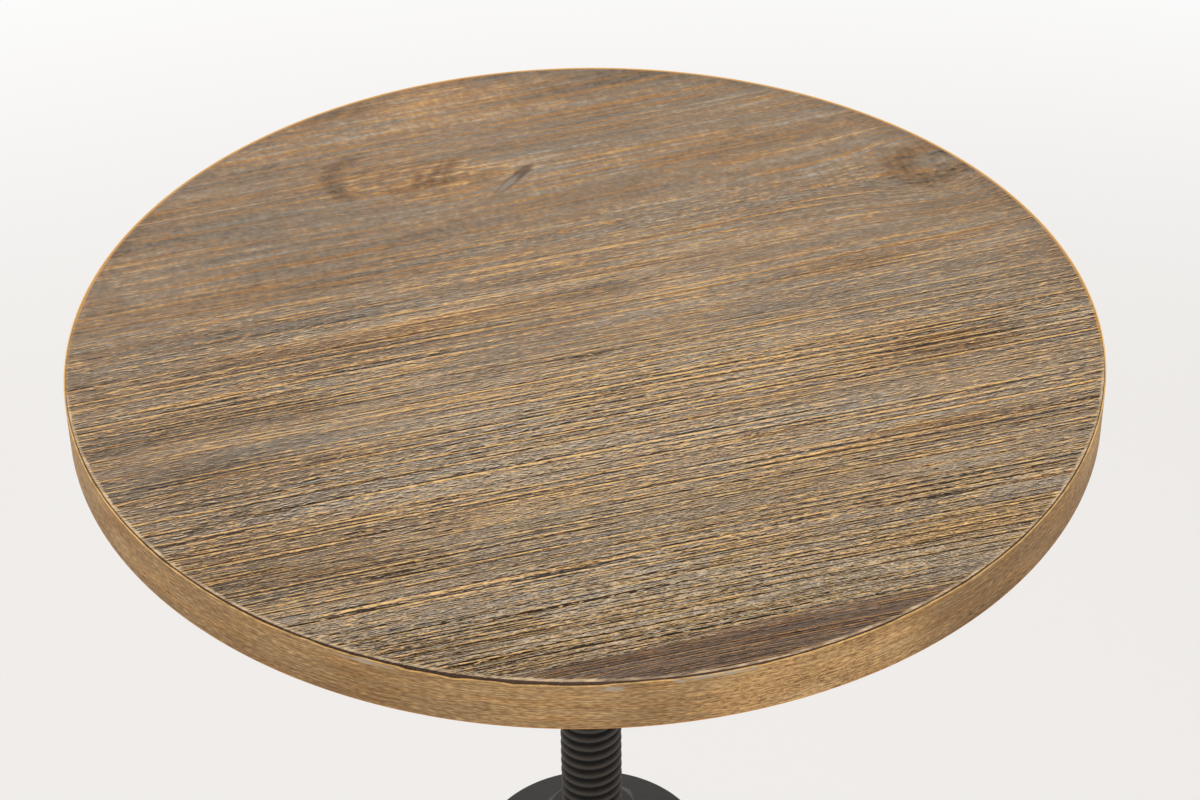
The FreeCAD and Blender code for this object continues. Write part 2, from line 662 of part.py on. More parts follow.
def make_footrest_cap_nuts():
    body = new_body("footrest_cap_nuts", FIRST_LEG_ANGLE)
    profile = new_sketch(body, "XZ_Plane", "cap_nut_profile")
    radius = "dims.cap_nut_diameter / 2"
    bore_end = f"({CAP_NUT_MOUTH} - dims.cap_nut_bore_depth)"
    skirt = f"({CAP_NUT_MOUTH} - dims.cap_nut_skirt)"
    tip = f"({CAP_NUT_MOUTH} - dims.cap_nut_height)"
    outside = [(tip, "0"), (tip, "dims.cap_nut_tip_diameter / 2"), (skirt, radius), (CAP_NUT_MOUTH, radius)]
    inside = [(CAP_NUT_MOUTH, BOLT_HOLE), (bore_end, BOLT_HOLE), (bore_end, "0")]
    dome_side = 1
    add_outline(profile, [*outside, *inside], dome_side, "dims.cap_nut_dome_radius")
    turned = add_turning(body, "Revolution", profile, "H_Axis", "cap_nut_turning")
    add_ring_of(body, [turned], LEG_COUNT, "cap_nut_ring")
    lift(body, "dims.ring_height")


make_seat_board()
make_seat_edge_band()
make_seat_plate()
make_plate_screws()
make_spindle_collar()
make_spindle()
make_stop_washer()
make_stop_bolt()
make_hub_disc()
make_spindle_nut()
make_guide_sleeve()
make_hub_spider()
for number in range(1, LEG_COUNT + 1):
    leg_turn = FIRST_LEG_ANGLE + (number - 1) * 360 / LEG_COUNT
    make_leg(number, leg_turn)
    make_glide(number, leg_turn)
make_leg_bolts()
make_footrest_ring()
make_footrest_spacers()
make_footrest_bolts()
make_footrest_cap_nuts()
doc.recompute()

failed = [o.Name for o in doc.Objects if {"Invalid", "Error"} & set(o.State)]
if failed:
    raise RuntimeError(f"these objects failed: {failed}")
for part in subparts:
    if part.Shape.isNull() or not part.Shape.isValid() or not part.Shape.Solids:
        raise RuntimeError(f"{part.Label} has no valid solid")

os.makedirs("parts", exist_ok=True)
for part in subparts:
    part.Shape.exportStep(f"parts/{part.Label}.step")
    print(part.Label, len(part.Shape.Solids), "solids", round(part.Shape.Volume, 1), "mm3")
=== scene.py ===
# %% [markdown]
# # A bar stool that screws up and down
# The stool is a round wooden seat on a threaded spindle. The spindle turns in a nut on a steel base, so
# turning the seat sets its height. This lesson dresses the finished construction: it loads the pieces at
# their real size and place, gives each one a finish, and rebuilds the few whose looks need more than the
# construction holds.

# %% Load the construction
import json
import math

import bpy
import numpy as np
from mathutils import Matrix, Vector


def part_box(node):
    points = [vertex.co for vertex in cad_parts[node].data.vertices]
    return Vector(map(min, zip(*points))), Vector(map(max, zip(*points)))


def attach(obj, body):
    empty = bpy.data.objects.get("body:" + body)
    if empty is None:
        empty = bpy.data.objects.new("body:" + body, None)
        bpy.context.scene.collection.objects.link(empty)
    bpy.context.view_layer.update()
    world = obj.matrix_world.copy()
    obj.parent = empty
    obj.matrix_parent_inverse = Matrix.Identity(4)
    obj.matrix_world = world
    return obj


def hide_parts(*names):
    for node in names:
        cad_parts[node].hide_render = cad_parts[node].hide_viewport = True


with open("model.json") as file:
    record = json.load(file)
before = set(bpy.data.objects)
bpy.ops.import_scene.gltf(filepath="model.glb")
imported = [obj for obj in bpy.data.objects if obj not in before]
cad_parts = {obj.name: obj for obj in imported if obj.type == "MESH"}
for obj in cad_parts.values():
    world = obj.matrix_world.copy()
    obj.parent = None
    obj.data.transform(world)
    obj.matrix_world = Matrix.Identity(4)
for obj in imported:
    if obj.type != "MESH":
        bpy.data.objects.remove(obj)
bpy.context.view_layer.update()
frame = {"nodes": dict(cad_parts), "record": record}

# %% [markdown]
# ## The sizes that the looks start from
# Everything sits on the spindle's upright axis. The seat's radius and heights are read from the loaded
# pieces, so the looks follow the construction when its sizes change. Marks on the wood are placed in
# millimetres from the middle of the seat, because that is how a joiner would measure them with a rule.

# %% Read the main sizes
MM = 0.001
board_low, board_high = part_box("seat_board")
band_low, band_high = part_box("seat_edge_band")
spindle_low, spindle_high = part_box("spindle")
SEAT_TOP = board_high.z
BAND_RADIUS = (band_high.x - band_low.x) / 2
SEAT_CENTRE = Vector((0, 0, SEAT_TOP))
print(f"seat {2 * BAND_RADIUS / MM:.0f} mm across, its top {SEAT_TOP / MM:.0f} mm above the floor")

# %% [markdown]
# ## The camera
# The picture is a close view of the seat from above and in front, with a long lens. The camera stands on a
# line that leans up from the middle of the seat, is slid a little sideways and down, and is rolled by under
# a degree. Building its three axes by hand keeps each of those steps visible, where a tracking constraint
# would hide them.

# %% Set up the camera
PICTURE_WIDTH = 1200
FOCAL_PIXELS = 3021.6
SENSOR_WIDTH = 36
CAMERA_ELEVATION = math.radians(37.053)
CAMERA_ROLL = math.radians(0.697)
CAMERA_DISTANCE = 891.7 * MM
CAMERA_RIGHT = 4.277 * MM
CAMERA_UP = -19.72 * MM


def add_camera():
    """The camera in front of the seat, looking down at it."""
    back = Vector((0, -math.cos(CAMERA_ELEVATION), math.sin(CAMERA_ELEVATION)))
    level = Vector((1, 0, 0))
    rising = back.cross(level)
    place = SEAT_CENTRE + back * CAMERA_DISTANCE + level * CAMERA_RIGHT + rising * CAMERA_UP
    right = level * math.cos(CAMERA_ROLL) - rising * math.sin(CAMERA_ROLL)
    up = level * math.sin(CAMERA_ROLL) + rising * math.cos(CAMERA_ROLL)
    lens = bpy.data.cameras.new("camera")
    lens.sensor_width = SENSOR_WIDTH
    lens.lens = SENSOR_WIDTH * FOCAL_PIXELS / PICTURE_WIDTH
    camera = bpy.data.objects.new("camera", lens)
    camera.matrix_world = Matrix.Translation(place) @ Matrix((right, up, back)).transposed().to_4x4()
    bpy.context.collection.objects.link(camera)
    bpy.context.scene.camera = camera
    return camera


camera = add_camera()
print(f"camera {camera.location.length:.2f} m from the origin, lens {camera.data.lens:.1f} mm")

# %% [markdown]
# ## Shader maths as Python
# A material is a graph of small nodes. Written node by node it is long and hard to read, so one class wraps
# a socket and lets ordinary operators add the Math nodes: `1 - mask` is a node, and so is `mask * 0.3`. Any
# other node comes from the method `node`, which sets the node's own settings first and its sockets
# afterwards.

# %% A class that turns expressions into nodes
class Wire:
    """A node tree together with one of its sockets. Operators on it add Math nodes to the tree."""

    def __init__(self, tree, socket=None):
        self.tree = tree
        self.socket = socket

    def node(self, kind, settings=None, inputs=None, output=0):
        """A new node with these settings and these values or links on its sockets."""
        made = self.tree.nodes.new(kind)
        for name, value in (settings or {}).items():
            setattr(made, name, value)
        for name, value in (inputs or {}).items():
            if isinstance(value, Wire):
                self.tree.links.new(value.socket, made.inputs[name])
            else:
                made.inputs[name].default_value = value
        return Wire(self.tree, made.outputs[output] if len(made.outputs) else None)

    def maths(self, operation, first, second):
        """A Math node on two values."""
        return self.node("ShaderNodeMath", {"operation": operation}, {0: first, 1: second})

    def __add__(self, other):
        return self.maths("ADD", self, other)

    def __sub__(self, other):
        return self.maths("SUBTRACT", self, other)

    def __rsub__(self, other):
        return self.maths("SUBTRACT", other, self)

    def __mul__(self, other):
        return self.maths("MULTIPLY", self, other)

    def __pow__(self, other):
        return self.maths("POWER", self, other)

    __radd__ = __add__
    __rmul__ = __mul__

    def fract(self):
        """What is left of this value above a whole number."""
        return self.maths("FRACT", self, 0)

    def ease(self, low, high):
        """0 at low, 1 at high and a smooth rise between them."""
        inputs = {"Value": self, "From Min": low, "From Max": high}
        return self.node("ShaderNodeMapRange", {"interpolation_type": "SMOOTHSTEP"}, inputs)

    def most(self, other):
        """The larger of the two values."""
        return self.maths("MAXIMUM", self, other)

    def blend(self, first, second, mode="MIX"):
        """The first colour where this value is 0, and the second one mixed over it where it is 1."""
        settings = {"data_type": "RGBA", "blend_type": mode}
        return self.node("ShaderNodeMix", settings, {0: self, 6: first, 7: second}, output=2)

    def stretched(self, scale, shift=(0, 0, 0)):
        """This vector times a scale plus a shift."""
        return self.node("ShaderNodeVectorMath", {"operation": "MULTIPLY_ADD"}, {0: self, 1: scale, 2: shift})

    def noise(self, along, across, seed, detail=2.0):
        """Noise from 0 to 1 over this vector, with marks of about these lengths on its first two axes."""
        place = self.stretched((1 / along, 1 / across, 0), (0, 0, seed))
        return self.node("ShaderNodeTexNoise", {}, {"Vector": place, "Scale": 1.0, "Detail": detail})

    def ramp(self, *stops):
        """The colour that a ramp gives this value. Each stop is a position and a colour."""
        made = self.node("ShaderNodeValToRGB", {}, {"Fac": self})
        elements = made.socket.node.color_ramp.elements
        while len(elements) < len(stops):
            elements.new(1.0)
        for element, (position, colour) in zip(elements, stops):
            element.position = position
            element.color = colour
        return made

    def parts(self):
        """The X, Y and Z of this vector."""
        return [self.node("ShaderNodeSeparateXYZ", {}, {0: self}, output=axis) for axis in range(3)]


def tint(red, green, blue):
    """A colour as it is seen on a screen, from 0 to 255, turned into the light that it stands for."""
    seen = [value / 255 for value in (red, green, blue)]
    light = [value / 12.92 if value <= 0.04045 else ((value + 0.055) / 1.055) ** 2.4 for value in seen]
    return (*light, 1.0)


def new_material(name):
    """An empty material, and the Wire that its nodes start from."""
    material = bpy.data.materials.new(name)
    material.use_nodes = True
    material.node_tree.nodes.clear()
    return material, Wire(material.node_tree)


def finish_material(start, surface, bump, depth):
    """Ends a material in one Principled shader. A bump height of 1 is depth metres high."""
    normal = start.node("ShaderNodeBump", {}, {"Height": bump, "Distance": depth})
    shader = start.node("ShaderNodeBsdfPrincipled", {}, {**surface, "Normal": normal})
    start.node("ShaderNodeOutputMaterial", {}, {"Surface": shader})


print("shader class ready")

# %% [markdown]
# ## Floor and light
# A studio floor and wall in one: a wide pale sheet that runs on to white. Near the stool it is an ordinary
# pale surface that takes the soft shadow. Far away it turns into plain white for the camera, so no horizon
# shows. The light is even: a bright surround and four large soft lamps, set so that a colour renders about
# as it is written.

# %% Make the floor
FLOOR_HALF = 20.0
FLOOR_FADE_START = 1.0
FLOOR_FADE_END = 1.9
FLOOR_NEAR = tint(250, 247, 244)
WHITE = (1.0, 1.0, 1.0, 1.0)


def seen_directly(start):
    """1 for what the camera sees, also in a mirror or through glass, and 0 for light that only bounces."""
    rays = [start.node("ShaderNodeLightPath", output=name) for name in
            ("Is Camera Ray", "Is Glossy Ray", "Is Transmission Ray")]
    return rays[0].most(rays[1]).most(rays[2])


def add_floor():
    """A wide pale sheet that fades to white."""
    material, start = new_material("studio_floor")
    place = start.node("ShaderNodeTexCoord", output="Object")
    reach = start.node("ShaderNodeVectorMath", {"operation": "LENGTH"}, {0: place}, output="Value")
    far = reach.ease(FLOOR_FADE_START, FLOOR_FADE_END)
    paper = start.node("ShaderNodeBsdfDiffuse", {}, {"Color": FLOOR_NEAR})
    white = start.node("ShaderNodeEmission", {}, {"Color": WHITE, "Strength": 1.0})
    sheet = start.node("ShaderNodeMixShader", {}, {0: far * seen_directly(start), 1: paper, 2: white})
    start.node("ShaderNodeOutputMaterial", {}, {"Surface": sheet})
    mesh = bpy.data.meshes.new("floor")
    corners = [(x * FLOOR_HALF, y * FLOOR_HALF, 0) for x, y in ((-1, -1), (1, -1), (1, 1), (-1, 1))]
    mesh.from_pydata(corners, [], [(0, 1, 2, 3)])
    mesh.materials.append(material)
    floor = bpy.data.objects.new("floor", mesh)
    bpy.context.collection.objects.link(floor)


add_floor()
print("floor", 2 * FLOOR_HALF, "m wide")

# %% Light the studio
SURROUND_LIGHT = 0.55
# Each lamp: its name, its place and its width in metres, and its power in watts.
LAMPS = (
    ("lamp_above", (0.2, 0.3, 2.9), 1.6, 16.0),
    ("lamp_left", (-1.9, -1.2, 1.9), 1.2, 12.0),
    ("lamp_right", (1.9, -1.2, 1.7), 1.2, 10.0),
    ("lamp_behind", (-0.6, 2.4, 1.8), 1.2, 10.0),
)


def add_softbox(name, place, width, power):
    """A square soft lamp that faces the seat."""
    lamp = bpy.data.lights.new(name, "AREA")
    lamp.size = width
    lamp.energy = power
    box = bpy.data.objects.new(name, lamp)
    box.location = place
    box.rotation_euler = (SEAT_CENTRE - Vector(place)).to_track_quat("-Z", "Y").to_euler()
    bpy.context.collection.objects.link(box)


def light_studio():
    """A white surround that lights softly, with soft lamps above, behind and on both sides."""
    world = bpy.data.worlds.new("studio")
    world.use_nodes = True
    world.node_tree.nodes.clear()
    start = Wire(world.node_tree)
    strength = SURROUND_LIGHT + seen_directly(start) * (1.0 - SURROUND_LIGHT)
    light = start.node("ShaderNodeBackground", {}, {"Color": WHITE, "Strength": strength})
    start.node("ShaderNodeOutputWorld", {}, {"Surface": light})
    bpy.context.scene.world = world
    for lamp in LAMPS:
        add_softbox(*lamp)
    bpy.context.scene.view_settings.view_transform = "Standard"


light_studio()
print("studio lit by", len(LAMPS), "lamps")

# %% [markdown]
# ## Helpers for building meshes
# Most rebuilt pieces are sheets of points in rows: round a turned piece, along a thread, or over the seat.
# One helper joins neighbouring rows with four-sided faces, and another turns points and faces into a piece
# that rides on its body and stands for the plain one.

# %% Mesh helpers
def join_rows(index, closed=True):
    """Four-sided faces between neighbouring rows of points. A closed row joins its end to its start."""
    if closed:
        index = np.hstack([index, index[:, :1]])
    corners = (index[:-1, :-1], index[:-1, 1:], index[1:, 1:], index[1:, :-1])
    return np.stack(corners, axis=-1).reshape(-1, 4)


def numbered(rows, columns, first=0):
    """Point numbers laid out in rows, counted on from the first one."""
    return np.arange(first, first + rows * columns).reshape(rows, columns)


def add_piece(name, points, faces, body, node, material):
    """A smooth mesh piece that rides on a body and takes the place of a construction node."""
    mesh = bpy.data.meshes.new(name)
    mesh.from_pydata(points.tolist(), [], [list(face) for face in faces])
    mesh.shade_smooth()
    mesh.materials.append(material)
    piece = bpy.data.objects.new(name, mesh)
    bpy.context.collection.objects.link(piece)
    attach(piece, body)
    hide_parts(node)
    print(name, len(mesh.vertices), "points", len(mesh.polygons), "faces")
    return piece


def add_values(piece, name, values):
    """Numbers or vectors kept on a piece's points, for its material to read."""
    kind, field = ("FLOAT", "value") if values.ndim == 1 else ("FLOAT_VECTOR", "vector")
    layer = piece.data.attributes.new(name, kind, "POINT")
    layer.data.foreach_set(field, values.astype(np.float32).ravel())


def smooth_rise(value, low, high):
    """0 at low, 1 at high and a smooth rise between them, on arrays."""
    share = np.clip((value - low) / (high - low), 0, 1)
    return share * share * (3 - 2 * share)


LATTICE = 1024


def lattice_noise(along, across, seed):
    """Smooth random heights from 0 to 1, with a new height at each whole number along and across."""
    heights = np.random.default_rng(seed).random((LATTICE, LATTICE))
    column = np.floor(along).astype(int)
    row = np.floor(across).astype(int)
    right = smooth_rise(along - column, 0, 1)
    up = smooth_rise(across - row, 0, 1)

    def corner(step_right, step_up):
        return heights[(column + step_right) % LATTICE, (row + step_up) % LATTICE]

    low = corner(0, 0) * (1 - right) + corner(1, 0) * right
    high = corner(0, 1) * (1 - right) + corner(1, 1) * right
    return low * (1 - up) + high * up


print("mesh helpers ready")

# %% [markdown]
# ## The grain of the seat
# The seat is one softwood board whose grain runs askew and fans out slightly, as it does in a tapering
# trunk. Two knots push the lines aside. The grain is worked out once, as a distance along it and a distance
# across it, and both the carved relief and the colours follow those two numbers, so a dark line always lies
# in its own furrow.

# %% Work out the grain
GRAIN_ANGLE = math.radians(16.8)
GRAIN_FAN_REACH = 5000.0
WAVE_HEIGHT = 0.8
WAVE_LENGTH = 68.0
WAVE_DRIFT = 90.0
OVAL_KNOT = (-52.0, 85.0)
ROUND_KNOT = (109.0, 91.0)
# Each bow: the knot that it goes round, how long and how wide it is, and how far it pushes the lines aside.
BOWS = ((OVAL_KNOT, 44.0, 20.0, 0.3), (ROUND_KNOT, 22.0, 20.0, 0.6))


def fan_lines(x, y):
    """Distances along and across lines that fan out from a far point on the left, in millimetres."""
    from_x = x + GRAIN_FAN_REACH * math.cos(GRAIN_ANGLE)
    from_y = y + GRAIN_FAN_REACH * math.sin(GRAIN_ANGLE)
    along = np.hypot(from_x, from_y) - GRAIN_FAN_REACH
    across = GRAIN_FAN_REACH * (np.arctan2(from_y, from_x) - GRAIN_ANGLE)
    return along, across


def push_aside(along, across, knot, length, width, push):
    """The distance across the grain, with its lines bowed round a knot at this place."""
    knot_along, knot_across = fan_lines(*knot)
    beside = across - knot_across
    near = np.exp(-(((along - knot_along) / length) ** 2) - (beside / width) ** 2)
    return across - push * beside * near


def grain_at(x, y):
    """Distances along and across the grain at a place on the seat, in millimetres."""
    along, across = fan_lines(x, y)
    across = across + WAVE_HEIGHT * np.sin(along / WAVE_LENGTH + across / WAVE_DRIFT)
    for bow in BOWS:
        across = push_aside(along, across, *bow)
    return along, across


def marks_at(along, across, marks):
    """Random heights from 0 to 1 in marks along the grain, given by their length, their width and a seed."""
    length, width, seed = marks
    return lattice_noise(along / length, across / width, seed)


print("grain runs at", round(math.degrees(GRAIN_ANGLE), 1), "degrees")

# %% [markdown]
# ## Dark wood, brushing and growth rings
# A trunk adds a hard line of wood each year, and its heart is darker. A wire brush bites into the soft wood
# between the lines, here more and there less. A noise texture could hold these, but only in the material. As
# numbers on the grain, they shape the mesh and colour it alike.

# %% Work out the dark wood, the brushing and the growth rings
HEARTWOOD_EDGE = -137.6
HEARTWOOD_TILT = 0.03
# Streaks, patches and lines: their length and width in millimetres, or in rings across, and a seed.
HEARTWOOD_STREAKS = (26.0, 1.3, 12)
HEARTWOOD_STREAK_REACH = 4.0
HEARTWOOD_FADE = (-1.0, 2.2)
HEARTWOOD_HARDNESS = 0.45
BRUSH_MIDDLE = 0.56
BRUSH_FADE_TO_BACK = 240.0
BRUSH_SIDE_START = 100.0
BRUSH_FADE_TO_LEFT = 140000.0
BRUSH_PATCHES = (90.0, 26.0, 11)
BRUSH_PATCH_PUSH = 0.3
BRUSH_STRIP_WIDTH = 14.0
BRUSH_STRIP_PUSH = 0.2
BRUSH_LEAST = 0.24
BRUSH_MOST = 1.25
RING_SPACING = 3.1
RING_WIDENING = 0.009
RING_DRIFT = (500.0, 24.0, 13)
RING_DRIFT_REACH = 2.4
RING_WOBBLE = (200.0, 5.0, 14)
RING_WOBBLE_REACH = 0.3
SHORT_RING_LINES = (40.0, 1.0, 15)
LONG_RING_LINES = (150.0, 1.0, 16)


def heartwood_at(along, across):
    """1 in the dark wood beyond one growth line at the front, 0 outside it, with a streaky edge."""
    ragged = marks_at(along, across, HEARTWOOD_STREAKS) - 0.5
    beyond = HEARTWOOD_EDGE + HEARTWOOD_TILT * along - across
    return smooth_rise(beyond - HEARTWOOD_STREAK_REACH * ragged, *HEARTWOOD_FADE)


def brushing_at(x, y, along, across):
    """How deeply the wire brush has bitten, 1 where it is deep, which is at the front on the right."""
    patches = marks_at(along, across, BRUSH_PATCHES) - 0.5
    strip = np.exp(-(((across - HEARTWOOD_EDGE - BRUSH_STRIP_WIDTH) / BRUSH_STRIP_WIDTH) ** 2))
    depth = BRUSH_MIDDLE - y / BRUSH_FADE_TO_BACK + x * (BRUSH_SIDE_START - y) / BRUSH_FADE_TO_LEFT
    depth = depth + BRUSH_PATCH_PUSH * patches + BRUSH_STRIP_PUSH * strip
    return np.clip(depth, BRUSH_LEAST, BRUSH_MOST) * (1 - HEARTWOOD_HARDNESS * heartwood_at(along, across))


def rings_at(along, across):
    """A count of growth rings across the grain, and how strongly each one's line shows, from 0 to 2."""
    drift = RING_DRIFT_REACH * marks_at(along, across, RING_DRIFT)
    drift = drift + RING_WOBBLE_REACH * marks_at(along, across, RING_WOBBLE)
    count = np.log(1 + RING_WIDENING * across / RING_SPACING) / RING_WIDENING + drift
    short_lines = smooth_rise(marks_at(along, count, SHORT_RING_LINES), 0.2, 0.95)
    long_lines = smooth_rise(marks_at(along, count, LONG_RING_LINES), 0.6, 0.8)
    return count, short_lines + long_lines


print("growth rings about", RING_SPACING, "mm apart")

# %% [markdown]
# ## The seat board
# A wire brush has worn the soft wood between the growth lines away, so the top is a field of fine furrows.
# A displacement modifier could do this from a texture, but rows of points laid along the grain put the
# points where the furrows are. The rows fill the disc, and rings close it with an eased rim, a side and an
# underside. The rim is crisp at the back and worn round at the front, where a dark line opens between the
# board and its edge band.

# %% Ease the rim
VENEER = 0.45
GLUE_GAP = 0.02
BOARD_EDGE = BAND_RADIUS / MM - VENEER - GLUE_GAP
WIDEST_GAP = -102.0
WIDEST_GAP_SPREAD = 20.0
WIDEST_GAP_SHARE = 0.64
RIM_WANDER = (12, 50, 5)
RIM_CHIPS = (40, 150, 6)
CRISP_RIM = 0.22
WORN_RIM = 0.5


def noise_round(angle, circle):
    """Random heights round the seat, read on a circle of the lattice: its radius, its middle and a seed."""
    radius, middle, seed = circle
    return lattice_noise(radius * np.cos(angle) + middle, radius * np.sin(angle) + middle, seed)


def rim_gap(angle):
    """How far the joint of board and band is open: 0 at the back, about 1 at the front, left of centre."""
    facing = smooth_rise(0.5 - 0.5 * np.sin(angle), 0.3, 0.8)
    front = np.exp(-(((np.degrees(angle) - WIDEST_GAP) / WIDEST_GAP_SPREAD) ** 2))
    rough = 0.5 + 0.5 * noise_round(angle, RIM_WANDER) + 0.5 * noise_round(angle, RIM_CHIPS)
    return ((1 - WIDEST_GAP_SHARE) * facing + WIDEST_GAP_SHARE * front) * rough


def eased_width(angle):
    """How far in from the board's edge its rim begins to round, in millimetres."""
    return CRISP_RIM + WORN_RIM * rim_gap(angle)


print("board", round(2 * BOARD_EDGE, 1), "mm across inside its band")

# %% Carve the furrows
FURROW_DEPTH = 0.4
FURROW_PLACE = 0.09
FURROW_HALF_WIDTH = 0.12
FURROW_STREAKS = (42.0, 1.0, 41)
FURROW_FRINGE = (14.0, 0.8, 22)
OPENED_PATCHES = (36.0, 9.0, 24)
FIBRES = (24.0, 0.8, 23)
FIBRE_DEPTH = 0.06


def relief_at(x, y):
    """The carved height in millimetres, at most 0, and what the finish reads: the grain and the rings."""
    along, across = grain_at(x, y)
    brushing = brushing_at(x, y, along, across)
    count, strength = rings_at(along, across)
    from_ring = np.abs((count - FURROW_PLACE + 0.5) % 1 - 0.5)
    ring_furrow = smooth_rise(from_ring, FURROW_HALF_WIDTH, 0.0) * np.minimum(strength, 1)
    streaks = 0.7 * marks_at(along, across, FURROW_STREAKS) + 0.3 * marks_at(along, across, FURROW_FRINGE)
    opened = 0.25 + 0.75 * smooth_rise(marks_at(along, across, OPENED_PATCHES), 0.35, 0.7)
    furrow = np.maximum(ring_furrow, smooth_rise(streaks, 0.26, 0.07)) * brushing**1.5 * opened
    height = -FURROW_DEPTH * furrow - FIBRE_DEPTH * marks_at(along, across, FIBRES) * brushing
    grain = np.stack([along, count * RING_SPACING, brushing], axis=-1)
    return height, grain, np.stack([count, strength, furrow], axis=-1)


print("furrows up to", FURROW_DEPTH, "mm deep")

# %% Lay out the board
COLUMNS_ALONG = 64
ROWS_ACROSS = 1060
RIM_STEPS = 5
UNDERSIDE_EASE = 0.8
UNDERSIDE_RINGS = 3
BOARD_THICKNESS = (board_high.z - board_low.z) / MM


def board_top():
    """Places on the top as complex numbers in millimetres, in rows along the grain and one at each end."""
    turns = np.linspace(-math.pi / 2, math.pi / 2, ROWS_ACROSS + 1)[1:-1]
    reach = np.linspace(-1, 1, COLUMNS_ALONG + 1)
    rows = np.cos(turns)[:, None] * reach + 1j * np.sin(turns)[:, None]
    places = np.append(rows.ravel(), [-1j, 1j]) * np.exp(1j * GRAIN_ANGLE)
    index = numbered(len(turns), COLUMNS_ALONG + 1)
    front, back = index.size, index.size + 1
    faces = list(join_rows(index, closed=False))
    for left, right in zip(range(COLUMNS_ALONG), range(1, COLUMNS_ALONG + 1)):
        faces.append((front, index[0, right], index[0, left]))
        faces.append((index[-1, left], index[-1, right], back))
    outline = np.concatenate([[front], index[:, -1], [back], index[::-1, 0]])
    return places * (BOARD_EDGE - eased_width(np.angle(places))), faces, outline


def board_rings(angle, carved):
    """Rings of points that close the board below its top's outline, and how far down the rim each ring is."""
    width = eased_width(angle)
    rings = []
    for step in range(1, RIM_STEPS + 1):
        turn = math.pi / 2 * step / RIM_STEPS
        height = carved * (1 - step / RIM_STEPS) - width * (1 - math.cos(turn))
        rings.append((BOARD_EDGE - width * (1 - math.sin(turn)), height, step / RIM_STEPS))
    rings.append((BOARD_EDGE, UNDERSIDE_EASE - BOARD_THICKNESS, 1.0))
    for step in range(UNDERSIDE_RINGS):
        rings.append(((BOARD_EDGE - UNDERSIDE_EASE) * (1 - step / UNDERSIDE_RINGS), -BOARD_THICKNESS, 0.0))
    points = []
    for ring_radius, height, _ in rings:
        level = np.broadcast_to(height, angle.shape)
        points.append(np.stack([ring_radius * np.cos(angle), ring_radius * np.sin(angle), level], axis=-1))
    return np.concatenate(points), np.repeat([ring[2] for ring in rings], len(angle))


def board_mesh():
    """The board's points in millimetres from the middle of its top, its faces, and how far down the rim."""
    places, faces, outline = board_top()
    heights = relief_at(places.real, places.imag)[0]
    top = np.stack([places.real, places.imag, heights], axis=-1)
    ring_points, ring_edge = board_rings(np.angle(places[outline]), heights[outline])
    rings = numbered(len(ring_points) // len(outline), len(outline), len(top))
    middle = len(top) + len(ring_points)
    faces += list(join_rows(np.vstack([outline, rings]))[:, ::-1])
    faces += [(rings[-1, n - 1], middle, rings[-1, n]) for n in range(len(outline))]
    points = np.concatenate([top, ring_points, [[0, 0, -BOARD_THICKNESS]]])
    edge = np.concatenate([np.zeros(len(top)), ring_edge, [0.0]])
    return points, faces, edge


def rim_values(points, edge):
    """At each point: how far down the rim it is, how open the joint is there, and how far in it lies."""
    angle = np.arctan2(points[:, 1], points[:, 0])
    inset = BOARD_EDGE - eased_width(angle) - np.hypot(points[:, 0], points[:, 1])
    return np.stack([edge, rim_gap(angle), np.maximum(inset, 0)], axis=-1)


print(ROWS_ACROSS - 1, "rows along the grain with", COLUMNS_ALONG + 1, "points each")

# %% [markdown]
# ## The finish of the seat
# The wood has a thin grey-brown wash that was brushed and sanded back. It stays grey in the worn soft wood,
# comes off the hard growth lines, which show gold, and leaves the open pores dark. So two shades are made
# at each place, the washed wood and the bare wood, and noises drawn out along the grain choose how light it
# is and which one shows. Stains, one broad patch of painted light in the front middle, and two knots then
# push the lightness and the warmth up or down where they lie.

# %% Stains in the wood
# Each stain, or patch of painted light: its middle, half its length and width in millimetres, and how much
# lighter and warmer it is.
SHADED_STAINS = (
    ((109, -4), 34, 7, -0.2, 0.1),
    ((86, 11), 14, 5, -0.08, 0.0),
    ((112, -45), 44, 7, -0.16, 0.0),
    ((-138, -54), 18, 9, -0.15, 0.0),
    ((-104, -40), 44, 9, -0.19, 0.05),
    ((-106, -64), 22, 6, -0.12, 0.0),
    ((-104, -74), 46, 24, -0.11, 0.0),
    ((-92, -116), 20, 9, -0.19, 0.0),
    ((-36, -87), 16, 6, -0.12, 0.0),
    ((-88, -15), 52, 13, -0.14, 0.06),
    ((-82, 7), 46, 7, -0.12, 0.0),
    ((-120, -10), 36, 14, -0.1, 0.0),
    ((-143, 17), 9, 7, -0.12, 0.0),
    ((-143, -26), 10, 13, -0.12, 0.0),
    ((-58, -106), 30, 8, -0.17, 0.1),
    ((-92, -100), 48, 17, -0.17, 0.1),
    ((-92, 50), 60, 34, -0.07, 0.0),
    ((124, 22), 34, 22, -0.06, -0.12),
    ((118, 68), 24, 6, -0.06, 0.0),
    ((0, 21), 28, 5, -0.12, -0.15),
    ((75, 33), 32, 6, -0.13, 0.0),
    ((45, 101), 36, 6, -0.1, 0.0),
    ((-104, 88), 38, 5, -0.14, 0.0),
    ((-80, 124), 20, 6, -0.16, 0.0),
    ((10, 147), 40, 6, -0.14, 0.0),
    ((-32, 84), 7, 6, -0.06, 0.1),
    ((-52, 80), 15, 5, -0.1, 0.2),
    ((-12, -104), 34, 4, -0.06, 0.0),
)
